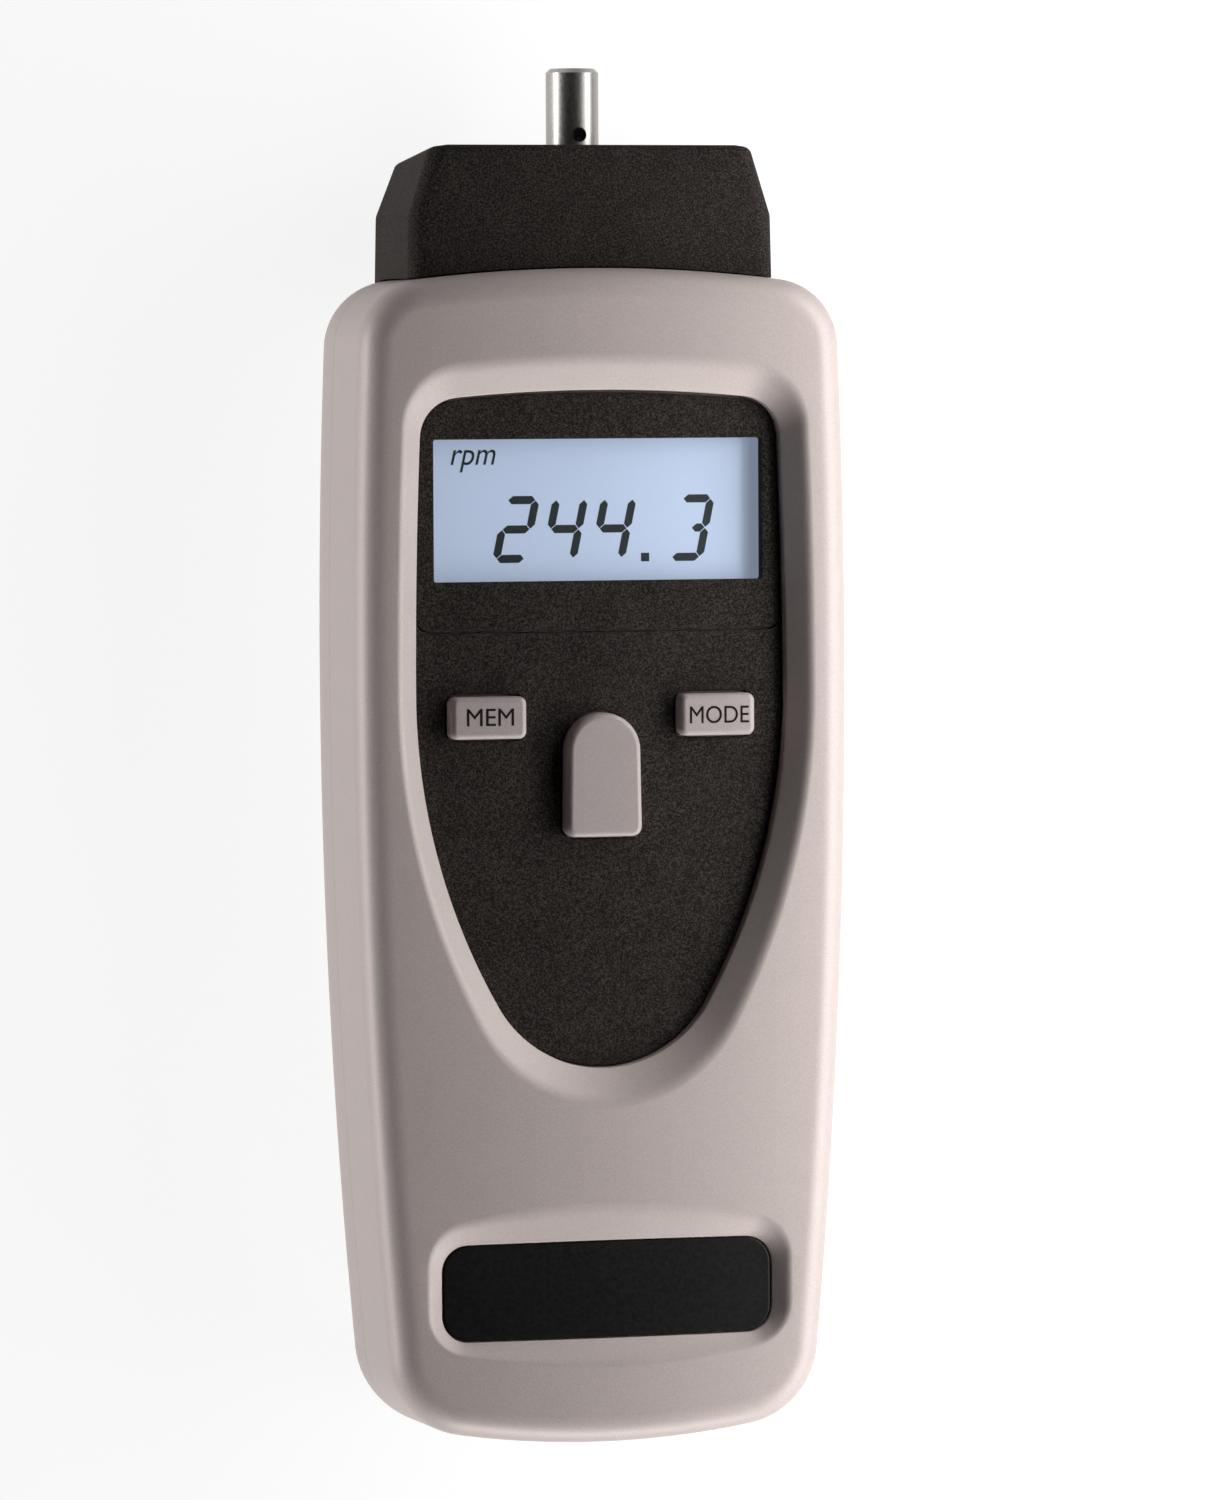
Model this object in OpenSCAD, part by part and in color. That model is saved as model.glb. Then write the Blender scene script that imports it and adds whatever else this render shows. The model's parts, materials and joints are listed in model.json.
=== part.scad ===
// Hand-held tachometer with a plug-on contact adapter, lying on its back.
// X runs across, Y from the foot towards the spindle, Z out of the display. Sizes are in millimetres.
// Heights along Y are counted from the foot of the housing, and in_frame() centres the finished part.

/* [Housing] */
// Length of the housing, from its foot to the crest of its top end
housing_l = 137.5; // [134:0.5:146]
// Width of the housing across its widest point
housing_w = 60; // [58:0.5:66]
// Depth of the housing from its back to its front face
housing_d = 26.5; // [26:0.25:30]
// Distance of the widest point from the foot
widest_y = 92; // [80:1:100]
// Radius of the long side curves
side_r = 880; // [600:10:1400]
// Radius of the curved top end
top_r = 185; // [150:5:260]
// Radius of the curved foot
foot_r = 110; // [90:5:160]
// Corner radius beside the top end
top_corner_r = 8; // [7.5:0.25:9]
// Corner radius beside the foot
foot_corner_r = 10; // [8:0.5:12]
// Rounding of the front edge
front_round = 3.25; // [2.5:0.25:4.5]
// Width of the rounding of the back edge
back_round_w = 7; // [5:0.25:7.25]
// Height of the rounding of the back edge
back_round_h = 11; // [8:0.5:12]
// Wall thickness of both shells
wall = 2.2; // [1.8:0.1:2.6]
// Height of the parting plane between the shells
part_z = 13.3; // [12.8:0.1:14]
// Height of the lip that aligns the shells
lip_h = 1; // [0.6:0.1:1.6]

/* [Display pod] */
// Width of the black pod at its rim
pod_w = 45.2; // [43:0.2:46.4]
// Lowest point of the pod's rim
pod_foot_y = 44; // [40:0.5:48]
// Highest point of the pod's rim
pod_top_y = 123.3; // [122.3:0.1:125]
// Where the pod is widest
pod_widest_y = 88; // [84:0.5:92]
// Radius of the pod's tongue
pod_tip_r = 14.8; // [12:0.2:17]
// Radius of the pod's upper corners
pod_corner_r = 4.8; // [3.5:0.1:6]
// Radius of the pod's upper sides
pod_side_r = 700; // [500:10:1000]
// Radius of the pod's top edge
pod_top_r = 185; // [150:5:260]
// Depth of the funnel between the front face and the rim
funnel_h = 2.2; // [1.4:0.1:2.6]
// Share of a recess's slope that is rounded off at the front face
mouth_round = 0.36; // [0.1:0.02:0.6]
// Width of the funnel at the sides
funnel_side = 3; // [2:0.1:3.4]
// Width of the funnel above the pod
funnel_top = 4.3; // [3:0.1:5.5]
// Width of the funnel below the pod
funnel_foot = 4.7; // [3:0.1:6]
// Step from the rim down to the black panels
panel_drop = 1.2; // [0.8:0.1:1.8]
// Thickness of the bezel and the keypad panel
panel_t = 1.2; // [1:0.1:1.6]
// Height of the seam between the bezel and the keypad panel
seam_y = 95.2; // [94:0.2:97]
// Radius of the bezel's lower corners
bezel_corner_r = 1.8; // [1:0.1:2.4]
// Thickness of the shell under the black panels
floor_t = 2; // [1.6:0.1:2.2]

/* [Display] */
// Width of the opening over the display
view_w = 40; // [36:0.2:40.4]
// Height of the opening over the display
view_h = 16.6; // [14:0.2:17.2]
// Middle of the display
view_y = 109.3; // [108.8:0.1:109.8]
// Overlap of the window under the edge of the opening
window_lap = 0.9; // [0.6:0.05:1]
// Thickness of the window
window_t = 0.6; // [0.5:0.1:1]
// Gap between the window and the display glass
lcd_gap = 0.1; // [0.05:0.05:0.2]
// Thickness of the display glass
lcd_t = 2.2; // [1.8:0.1:2.4]
// Width of each elastomer strip
strip_w = 2.2; // [1.6:0.1:2.6]

/* [Buttons] */
// Width of the two small buttons
small_w = 9.2; // [8:0.1:10]
// Height of the two small buttons
small_h = 4.95; // [4.4:0.05:5.6]
// Corner radius of the small buttons
small_r = 0.9; // [0.85:0.05:1.2]
// Distance of the small buttons from the middle
small_x = 13.95; // [13.6:0.05:14.6]
// Position of the small buttons
small_y = 85.2; // [84.8:0.1:86.4]
// How far the small buttons stand above the panel
small_rise = 1.9; // [1.5:0.1:2.2]
// Width of the measuring button at its foot
main_w = 9.2; // [8:0.1:10]
// Width of the measuring button where its arch starts
main_neck_w = 8.9; // [8:0.1:9.2]
// Lowest edge of the measuring button
main_foot_y = 71.1; // [70.6:0.1:72]
// Crest of the measuring button's arch
main_top_y = 85.6; // [84:0.1:86.4]
// Radius of the measuring button's lower corners
main_r = 1.2; // [1:0.1:1.6]
// How far the measuring button stands above the panel
main_rise = 2.2; // [1.7:0.1:2.5]
// Rounding of the button tops
button_round = 0.7; // [0.4:0.05:0.8]
// Width of the hidden flange round each button
flange_w = 0.8; // [0.6:0.1:0.9]
// Thickness of that flange
flange_t = 1; // [0.8:0.1:1.2]
// Diameter of the stem under each button
stem_d = 4; // [3:0.1:4.4]
// Travel of the buttons
button_travel = 1; // [0.6:0.1:1.1]
// Height of a rubber dome that is pressed flat
dome_flat = 0.9; // [0.7:0.1:1.2]
// Diameter of the rubber domes at their foot
dome_d = 7; // [6.4:0.1:7.6]
// Wall thickness of the rubber domes
dome_wall = 0.5; // [0.4:0.05:0.7]

/* [Label] */
// Width of the label plate
label_w = 40; // [36:0.5:40.5]
// Height of the label plate
label_h = 11.2; // [9:0.1:11.8]
// Corner radius of the label plate
label_r = 3; // [2:0.1:4]
// Middle of the label plate
label_y = 18.1; // [17.6:0.1:18.8]
// Thickness of the label plate
label_t = 1; // [0.6:0.1:1.2]
// Depth of the label recess below the front face
label_drop = 1.4; // [1:0.1:1.6]
// Width of the recess's slope at the sides
label_side = 2.4; // [1.5:0.1:2.6]
// Width of the recess's slope above the middle of the plate
label_top = 4.9; // [3.6:0.1:5.4]
// Width of the recess's slope below the middle of the plate
label_foot = 3.5; // [3:0.1:4.2]
// Radius of the recess's bowed edges above and below the plate
label_bow_r = 90; // [80:5:200]

/* [Adapter] */
// Width of the adapter at its foot
adapter_w = 44.6; // [42:0.2:45]
// Width of the adapter where its taper starts
adapter_knee_w = 44.2; // [42:0.2:45]
// Width of the adapter at its top
adapter_top_w = 39.2; // [37:0.2:42]
// Depth of the adapter, front to back
adapter_d = 17.6; // [17:0.2:19]
// Height of the adapter above the housing's crest
adapter_h = 14.4; // [14.1:0.1:16]
// Height of its taper
taper_h = 8.2; // [6:0.1:9]
// Lean of its top face towards the back
adapter_lean = 6.2; // [4:0.1:6.5]
// Rounding of its upright edges
adapter_edge_r = 2; // [1.5:0.1:2.5]
// Rounding of its top edge
adapter_top_r = 0.8; // [0.5:0.1:1.2]
// Wall thickness of the adapter
adapter_wall = 2.2; // [1.8:0.1:2.5]
// Width of the plug that goes into the housing
plug_w = 29.4; // [27:0.2:31]
// Depth of the plug, front to back
plug_d = 10.4; // [9.8:0.1:10.8]
// Length of the plug inside the housing
plug_l = 5.6; // [4:0.1:5.8]
// Wall thickness of the plug
plug_wall = 1.6; // [1.2:0.1:1.8]
// Thickness of the adapter's base plate
base_t = 2.1; // [1.9:0.1:2.3]
// Distance of the adapter's screws from the spindle
adapter_screw_x = 14.5; // [14:0.1:15]

/* [Spindle] */
// Height of the spindle's axis above the back
spindle_z = 13.2; // [13:0.1:13.6]
// Diameter of the spindle
spindle_d = 6.2; // [5.8:0.1:6.4]
// Length of the spindle above the housing's crest
spindle_reach = 23.5; // [20:0.1:26]
// Chamfer at the spindle's end
spindle_chamfer = 0.5; // [0.3:0.1:1.2]
// Diameter of the cross hole
cross_d = 1.7; // [1.2:0.1:2]
// Depth of the cross hole
cross_depth = 4.6; // [3:0.1:5.2]
// Height of the cross hole above the housing's crest
cross_y = 15.7; // [15.6:0.1:17.5]
// Depth of the relief groove where the spindle leaves the adapter
relief_depth = 0.25; // [0.2:0.05:0.35]
// Width of that groove
relief_w = 0.6; // [0.6:0.1:1]
// Outer diameter of the bearing bushes
bush_d = 9; // [8.4:0.1:9.6]
// Diameter of their flanges
bush_flange_d = 11; // [10:0.1:12]
// Thickness of their flanges
bush_flange_t = 0.8; // [0.6:0.1:0.9]
// Thickness of the bearing bracket
bracket_t = 2; // [1.7:0.1:2.1]
// Diameter of the rotor disc
rotor_d = 12.4; // [11:0.1:12.6]
// Thickness of the rotor disc
rotor_t = 1.2; // [1:0.1:1.4]
// Number of slots in the rotor disc
rotor_slots = 3; // [2:1:4]
// Thickness of the retaining ring
ring_t = 0.6; // [0.5:0.05:0.7]

/* [Batteries] */
// Diameter of one cell
cell_d = 14.2; // [13.8:0.1:14.3]
// Length of one cell with its tip
cell_l = 50.5; // [49.5:0.1:51]
// Diameter of a cell's tip
tip_d = 5.4; // [4.8:0.1:5.6]
// Length of a cell's tip
tip_l = 1.2; // [1:0.1:1.5]
// Lower end of the battery bay
bay_y = 7.5; // [7:0.1:8.5]
// Length of a fitted contact spring
spring_l = 6.6; // [5.5:0.1:7]
// Wire diameter of the contact springs
wire_d = 0.9; // [0.7:0.1:1]
// Thickness of the contact plates
plate_t = 0.4; // [0.3:0.1:0.5]
// Wall thickness of the battery tub
tub_wall = 1.2; // [1:0.1:1.3]
// Thickness of the battery door's face
door_t = 0.95; // [0.9:0.05:1.1]
// Thickness of the door's side tongues
tongue_t = 1; // [0.8:0.1:1.1]
// Width of the door's side tongues
tongue_w = 1.2; // [0.8:0.1:1.4]
// How far the door lies below the back
door_sink = 0.3; // [0.2:0.05:0.4]

/* [Board and sensor] */
// Thickness of the circuit board
board_t = 1.6; // [1.2:0.1:1.8]
// Distance of the board below the shell's floor
board_drop = 3.9; // [3.7:0.1:4.2]
// Width of the controller chip
controller_w = 14; // [12:0.5:16]
// Width of the memory and amplifier chips
chip_w = 7; // [5:0.5:8]
// Thickness of the chips
chip_t = 1.5; // [1:0.1:1.8]
// Length of the crystal can
crystal_l = 10; // [8:0.5:11]
// Thickness of the crystal can
crystal_t = 3.4; // [2.8:0.1:3.8]
// Diameter of the two sensor diodes
diode_d = 5; // [4.4:0.1:5.4]
// Distance of each diode from the middle
diode_x = 3.4; // [3.2:0.1:4]
// Length of the sensor block
optic_l = 7.3; // [6.8:0.1:7.8]
// Width of the sensor block
optic_w = 27; // [24:0.5:28]
// Thickness of the beam window
beam_window_t = 1.2; // [0.8:0.1:1.4]

/* [Screws] */
// Shank diameter of the housing screws
screw_d = 2.6; // [2.2:0.1:2.8]
// Head diameter of the housing screws
screw_head_d = 5; // [4.6:0.1:5.2]
// Diameter of the screw pillars
pillar_d = 6.6; // [6.4:0.1:7]
// Distance of the lower pillars from the foot
lower_pillar_y = 12; // [11:0.5:16]
// Shank diameter of the small screws
small_screw_d = 1.8; // [1.6:0.1:2]

/* [Fits] */
// Gap between pieces that stay still
snug = 0.15; // [0.1:0.05:0.2]
// Gap between pieces that slide
slide_gap = 0.25; // [0.2:0.05:0.3]
// Radial gap between a shaft and its bush
run_gap = 0.025; // [0.02:0.005:0.05]
// Radial gap of a pressed or screwed piece
press_gap = 0.02; // [0.01:0.005:0.03]

/* [Hidden] */
$fn = 48;
eps = 0.5;
sharpest = 0.8;
straight_r = 2000;

// Levels of the front, from the face down to the board
front_z = housing_d;
rim_z = front_z - funnel_h;
panel_z = rim_z - panel_drop;
seat_z = panel_z - panel_t;
ceiling_z = seat_z - floor_t;
board_z = ceiling_z - board_drop;
label_z = front_z - label_drop;

// Display stack
window_w = view_w + 2 * window_lap;
window_h = view_h + 2.8 * window_lap;
window_z = seat_z - window_t;
lcd_top = window_z - lcd_gap;
lcd_z = lcd_top - lcd_t;
strip_z = board_z;

// Buttons
dome_h = dome_flat + button_travel;
stem_foot_z = board_z + dome_h;
main_neck_y = main_top_y - main_neck_w / 2;
main_y = (main_foot_y + main_top_y) / 2;

// Batteries and their bay
door_z = door_sink + door_t;
tongue_z = door_z + snug;
tongue_top = tongue_z + tongue_t;
bay_z = tongue_top + snug;
cell_z = bay_z + slide_gap + cell_d / 2;
cell_x = cell_d / 2 + slide_gap;
bay_w = 4 * cell_x + 2 * slide_gap;
bay_l = cell_l + spring_l + 2 * plate_t;
bay_top = cell_z + cell_d / 2 + slide_gap;
tub_w = bay_w + 2 * tub_wall;
tub_l = bay_l + 2 * tub_wall;
tub_top = bay_top + tub_wall;
door_w = bay_w + 2 * tub_wall;
slot_w = door_w + 2 * tongue_w;
door_end_y = bay_y + bay_l + 2 * tub_wall;

// Circuit board, between the tub and the sensor block
board_foot_y = bay_y + bay_l + tub_wall + 1;
board_top_y = view_y + window_h / 2 + 2.6;
board_w = housing_w - 10;
board_screw_x = board_w / 2 - 2.5;
board_screws_y = [board_foot_y + 4.6, seam_y - 1.8];
board_pillar_d = 4.8;

// Screw pillars
lower_pillar_x = housing_w / 2 - 9;
upper_pillar_x = housing_w / 2 - 7.5;
upper_pillar_y = housing_l - 9.5;
pillars = [for (sx = [-1, 1], p = [[lower_pillar_x, lower_pillar_y], [upper_pillar_x, upper_pillar_y]])
    [sx * p.x, p.y]];
screw_seat_z = 6.4;
screw_head_t = 1.8;
screw_bite = 4.8;

// Adapter and spindle, counted up from the housing's crest
crest_y = housing_l;
adapter_top_y = crest_y + adapter_h;
knee_y = adapter_top_y - taper_h;
lean = tan(adapter_lean);
adapter_gap = 0.2;
base_y = crest_y + 2 * adapter_gap;
base_top_y = base_y + base_t;
rotor_y = base_top_y + 0.3;
hub_top_y = rotor_y + rotor_t + 1;
rear_flange_y = hub_top_y + slide_gap;
bracket_y = rear_flange_y + bush_flange_t;
bracket_top_y = bracket_y + bracket_t;
ring_y = bracket_top_y + slide_gap + 0.1;
front_flange_y = ring_y + ring_t + slide_gap;
hood_roof_y = front_flange_y + bush_flange_t;
front_bush_top_y = adapter_top_y - lean * (adapter_d + bush_d) / 2 - snug;
hood_inner_w = adapter_top_w - 1.2 * adapter_wall;
hood_inner_d = adapter_d - 2 * adapter_wall;
spindle_foot_y = rotor_y - 0.1;
spindle_top_y = crest_y + spindle_reach;
ring_bed_d = spindle_d - 0.9;
hub_d = spindle_d + 2.4;
adapter_screw_d = 2.2;
adapter_head_d = 4;
adapter_head_t = 1.2;
adapter_post_d = 5.4;
adapter_screw_top_y = hood_roof_y + 1.4;

// Plug and sensor inside the top end
plug_y = base_y - plug_l - 2 * adapter_gap;
beam_window_y = plug_y - 0.5 - beam_window_t;
optic_y = beam_window_y - optic_l;
optic_d = plug_d - 0.4;
optic_rib_x = optic_w / 3;
optic_rib_w = 2;
optic_rib_l = optic_l - 2;

total_l = spindle_top_y;

// Shared outlines and helpers

// Angle of a direction
function angle(v) = atan2(v.y, v.x);

// Points along an arc about c, without its last point
function arc(c, r, from, to, n) =
    [for (i = [0 : n - 1]) let (a = from + (to - from) * i / n) c + r * [cos(a), sin(a)]];

// Centre of a circle of radius r that touches two larger circles from inside
function touching(c1, r1, c2, r2, r, side) =
    let (a = r1 - r, b = r2 - r, d = norm(c2 - c1), e = (c2 - c1) / d,
        t = (a * a - b * b + d * d) / (2 * d))
    c1 + t * e + side * sqrt(a * a - t * t) * [-e.y, e.x];

// A right half from the lowest point up, its crest, and the mirrored left half
function both_sides(right, top) =
    concat(right, [[0, top]], [for (i = [len(right) - 1 : -1 : 1]) [-right[i].x, right[i].y]]);

// Bowed rectangle: side is [half width, height of the widest point, radius], and the foot and the top are
// each [height, radius, corner radius]; n gives the points on an end, a corner and a side
function bowed_outline(side, foot, top, n) =
    let (side_c = [side[0] - side[2], side[1]],
        top_c = [0, top[0] - top[1]],
        foot_c = [0, foot[0] + foot[1]],
        upper = touching(side_c, side[2], top_c, top[1], top[2], 1),
        lower = touching(side_c, side[2], foot_c, foot[1], foot[2], -1))
    both_sides(concat(
        arc(foot_c, foot[1], -90, angle(lower - foot_c), n[0]),
        arc(lower, foot[2], angle(lower - foot_c), angle(lower - side_c), n[1]),
        arc(side_c, side[2], angle(lower - side_c), angle(upper - side_c), n[2]),
        arc(upper, top[2], angle(upper - side_c), angle(upper - top_c), n[1]),
        arc(top_c, top[1], angle(upper - top_c), 90, n[0])), top[0]);

// Outline of the housing seen from the front, drawn in by inset
function housing_outline(inset = 0) =
    bowed_outline([housing_w / 2 - inset, widest_y, side_r - inset],
        [inset, foot_r - inset, max(foot_corner_r - inset, sharpest)],
        [housing_l - inset, top_r - inset, max(top_corner_r - inset, sharpest)], [6, 8, 12]);

// Outline about the label, larger than its plate at the sides, the top and the foot
function label_outline(side = 0, top = 0, foot = 0, bow_r = straight_r) =
    bowed_outline([label_w / 2 + side, label_y, straight_r],
        [label_y - label_h / 2 - foot, bow_r, label_r + side],
        [label_y + label_h / 2 + top, bow_r, label_r + side], [5, 5, 2]);

// Outline of the tongue-shaped pod: tip arc, lower sides, upper sides, corners and crest
function pod_outline(half, foot_y, top_y, tip_r, corner_r) =
    let (rise = pod_widest_y - foot_y - tip_r,
        lower_r = (half * half + rise * rise - tip_r * tip_r) / (2 * (half - tip_r)),
        tip_c = [0, foot_y + tip_r],
        lower_c = [half - lower_r, pod_widest_y],
        upper_c = [half - pod_side_r, pod_widest_y],
        top_c = [0, top_y - pod_top_r],
        corner = touching(upper_c, pod_side_r, top_c, pod_top_r, corner_r, 1))
    both_sides(concat(
        arc(tip_c, tip_r, -90, angle(tip_c - lower_c), 10),
        arc(lower_c, lower_r, angle(tip_c - lower_c), 0, 14),
        arc(upper_c, pod_side_r, 0, angle(corner - upper_c), 4),
        arc(corner, corner_r, angle(corner - upper_c), angle(corner - top_c), 8),
        arc(top_c, pod_top_r, angle(corner - top_c), 90, 6)), top_y);

// The pod's rim, drawn in by inset
function rim_outline(inset = 0) =
    pod_outline(pod_w / 2 - inset, pod_foot_y + inset, pod_top_y - inset,
        pod_tip_r - inset, pod_corner_r - inset);

// The funnel's edge on the front face
function funnel_outline() =
    pod_outline(pod_w / 2 + funnel_side, pod_foot_y - funnel_foot, pod_top_y + funnel_top,
        pod_tip_r + funnel_side, pod_corner_r + funnel_side);

// Rectangle with rounded corners about a centre
function rounded_rect(w, h, r, c = [0, 0], n = 5) =
    [for (q = [0 : 3]) each let (sx = (q == 0 || q == 3) ? 1 : -1, sy = q < 2 ? 1 : -1)
        [for (i = [0 : n]) let (a = 90 * (q + i / n))
            c + [sx * (w / 2 - r), sy * (h / 2 - r)] + r * [cos(a), sin(a)]]];

// Outline of the measuring button: straight foot, slightly flared sides and an arched top
function main_outline(inset = 0) =
    let (half = main_w / 2 - inset, neck = main_neck_w / 2 - inset,
        foot = main_foot_y + inset, r = main_r - inset)
    concat(
        arc([half - r, foot + r], r, -90, 0, 4),
        [[half, foot + r]],
        arc([0, main_neck_y], neck, 0, 180, 16),
        [[-neck, main_neck_y]],
        arc([-half + r, foot + r], r, 180, 270, 4),
        [[-half + r, foot]]);

// Outline of a small button at a given side
function small_outline(side, inset = 0) =
    rounded_rect(small_w - 2 * inset, small_h - 2 * inset, small_r - inset, [side * small_x, small_y], 4);

// A flat outline lifted to height z
function ring(outline, z) = [for (p = outline) [p.x, p.y, z]];

// Closed body through a row of rings with equally many points
module loft(rings) {
    n = len(rings[0]);
    last = (len(rings) - 1) * n;
    polyhedron(
        points = [for (r = rings) each r],
        faces = concat(
            [[for (i = [0 : n - 1]) i]],
            [[for (i = [n - 1 : -1 : 0]) last + i]],
            [for (k = [0 : n : last - n], i = [0 : n - 1]) let (j = (i + 1) % n)
                each [[k + i, k + n + i, k + n + j], [k + i, k + n + j, k + j]]]));
}

// Upright prism over an outline
module prism(outline, z0, z1) {
    translate([0, 0, z0]) linear_extrude(z1 - z0) polygon(outline);
}

// Box between two corners
module block(low, high) {
    translate(low) cube(high - low);
}

// Cylinder along +Y about the spindle's axis, shifted across by x
module along_y(d, y0, y1, x = 0) {
    translate([x, y0, spindle_z]) rotate([-90, 0, 0]) cylinder(d = d, h = y1 - y0);
}

// Upright cylinder
module post(d, at, z0, z1) {
    translate([at.x, at.y, z0]) cylinder(d = d, h = z1 - z0);
}

// Moves the part so that its box is centred on the origin
module in_frame() {
    translate([0, -total_l / 2, 0]) children();
}

// Housing forms

// Outer form of the front half, with its rounded front edge
module front_form() {
    steps = 8;
    loft(concat(
        [ring(housing_outline(), part_z)],
        [for (i = [0 : steps]) let (a = 90 * i / steps)
            ring(housing_outline(front_round * (1 - cos(a))), front_z - front_round * (1 - sin(a)))]));
}

// Form of the back half with its rounded back edge, drawn in by inset
module back_form(inset, top, steps) {
    loft(concat(
        [for (i = [0 : steps]) let (a = 90 * (1 - i / steps), height = back_round_h - inset)
            ring(housing_outline(inset + back_round_w * (1 - cos(a))), inset + height * (1 - sin(a)))],
        [ring(housing_outline(inset), top)]));
}

// Depth along a slope that is rounded off at its start, both as shares of the whole
function slope_depth(t) =
    let (whole = 1 - mouth_round / 2)
    t < mouth_round ? t * t / (2 * mouth_round * whole) : (t - mouth_round / 2) / whole;

// Slope from an edge on the front face down to a throat at height z, and an upright pocket below it
module recess(edge, throat, z, pocket_z) {
    steps = 4;
    shares = concat([1], [for (i = [steps : -1 : 1]) mouth_round * i / steps]);
    loft(concat(
        [for (t = shares) ring((1 - t) * edge + t * throat, front_z - (front_z - z) * slope_depth(t))],
        [ring(edge, front_z), ring(edge, front_z + eps)]));
    prism(throat, pocket_z, z + eps / 10);
}

// Funnel, rim and pocket for the black panels
module pod_recess() {
    recess(funnel_outline(), rim_outline(), rim_z, seat_z);
}

// Recess and pocket for the label plate
module label_recess() {
    recess(label_outline(label_side, label_top, label_foot, label_bow_r), label_outline(snug, snug, snug),
        label_z, label_z - label_t);
}

// Holes in the shell's floor for the display glass and the three button flanges
module floor_openings() {
    gap = flange_w + slide_gap;
    low = ceiling_z - eps;
    high = seat_z + eps;
    block([-window_w / 2 - snug, view_y - window_h / 2 - snug, low],
        [window_w / 2 + snug, view_y + window_h / 2 + snug, high]);
    prism(main_outline(-gap), low, high);
    for (side = [-1, 1]) prism(small_outline(side, -gap), low, high);
}

// Opening in the top end that takes the adapter's plug
module plug_socket() {
    translate([0, plug_y + plug_l / 2 + eps, spindle_z])
        cube([plug_w + 2 * slide_gap, 2 * plug_l, plug_d + 2 * slide_gap], center = true);
}

// Pair of ribs that hold the sensor block between the shells
module optic_ribs(z0, z1) {
    y = optic_y + optic_l / 2;
    for (sx = [-1, 1])
        block([sx * optic_rib_x - optic_rib_w / 2, y - optic_rib_l / 2, z0],
            [sx * optic_rib_x + optic_rib_w / 2, y + optic_rib_l / 2, z1]);
}

// Sub-parts of the housing

module front_shell() {
    color("silver") in_frame() difference() {
        front_form();
        difference() {
            prism(housing_outline(wall), part_z - eps, ceiling_z);
            for (p = pillars) post(pillar_d, p, part_z, ceiling_z + eps);
            for (sx = [-1, 1], y = board_screws_y)
                post(board_pillar_d, [sx * board_screw_x, y], board_z, ceiling_z + eps);
            optic_ribs(spindle_z + optic_d / 2, ceiling_z + eps);
        }
        difference() {
            prism(housing_outline(wall / 2), part_z - eps, part_z + lip_h + snug);
            for (p = pillars) post(pillar_d, p, part_z, ceiling_z);
        }
        pod_recess();
        label_recess();
        floor_openings();
        plug_socket();
        for (p = pillars) post(screw_d + 2 * press_gap, p, part_z - eps, part_z + screw_bite + eps);
        for (sx = [-1, 1], y = board_screws_y)
            post(small_screw_d + 2 * press_gap, [sx * board_screw_x, y], board_z - eps, ceiling_z - eps / 2);
    }
}

// Body of the battery tub, which rises through the parting plane
module tub_body() {
    block([-tub_w / 2, bay_y - tub_wall, wall], [tub_w / 2, bay_y + bay_l + tub_wall, tub_top]);
    block([-slot_w / 2 - tub_wall, bay_y - tub_wall, wall / 2],
        [slot_w / 2 + tub_wall, door_end_y + tub_wall, bay_z + tub_wall]);
}

// Guide for the sliding door: face slot and side grooves, open at the foot
module door_slot() {
    block([-door_w / 2 - snug, -eps, -eps], [door_w / 2 + snug, door_end_y + snug, door_z + snug]);
    block([-slot_w / 2 - snug, -eps, door_z], [slot_w / 2 + snug, door_end_y + snug, bay_z]);
}

module rear_shell() {
    color("silver") in_frame() {
        difference() {
            union() {
                difference() {
                    back_form(0, part_z, 9);
                    difference() {
                        back_form(wall, part_z + eps, 5);
                        for (p = pillars) post(pillar_d, p, 0, part_z + eps);
                        tub_body();
                        optic_ribs(0, spindle_z - optic_d / 2);
                    }
                }
                block([-tub_w / 2, bay_y - tub_wall, part_z - eps],
                    [tub_w / 2, bay_y + bay_l + tub_wall, tub_top]);
                difference() {
                    prism(housing_outline(wall / 2 + snug), part_z - eps / 2, part_z + lip_h);
                    prism(housing_outline(wall), part_z - eps, part_z + lip_h + eps);
                    for (p = pillars) post(pillar_d + 2 * snug, p, part_z, part_z + lip_h + eps);
                }
            }
            block([-bay_w / 2, bay_y, -eps], [bay_w / 2, bay_y + bay_l, bay_top]);
            door_slot();
            plug_socket();
            for (p = pillars) {
                post(screw_d + 2 * snug, p, -eps, part_z + eps);
                post(screw_head_d + 4 * snug, p, -eps, screw_seat_z);
            }
        }
    }
}

module battery_door() {
    grip_pitch = 3;
    color("silver") in_frame() difference() {
        intersection() {
            back_form(door_sink, part_z, 9);
            union() {
                block([-door_w / 2, -eps, 0], [door_w / 2, door_end_y, tongue_z + eps / 5]);
                block([-slot_w / 2, -eps, tongue_z], [slot_w / 2, door_end_y, tongue_top]);
            }
        }
        for (i = [0 : 4])
            translate([0, lower_pillar_y + grip_pitch * i, door_sink])
                cube([door_w / 2, grip_pitch / 2, door_t], center = true);
    }
}

// Black panels, display and label

module keypad_panel() {
    gap = slide_gap;
    color("dimgray") in_frame() translate([0, 0, seat_z]) linear_extrude(panel_t) difference() {
        polygon(rim_outline(snug));
        translate([-pod_w, seam_y + bezel_corner_r]) square([2 * pod_w, pod_top_y]);
        polygon(bezel_frame(snug));
        polygon(main_outline(-gap));
        for (side = [-1, 1]) polygon(small_outline(side, -gap));
    }
}

// Rectangle with rounded lower corners that bounds the bezel
function bezel_frame(grow = 0) =
    rounded_rect(pod_w - 4 * snug + 2 * grow, 2 * (pod_top_y - seam_y) + 2 * grow,
        bezel_corner_r + grow, [0, pod_top_y]);

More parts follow.
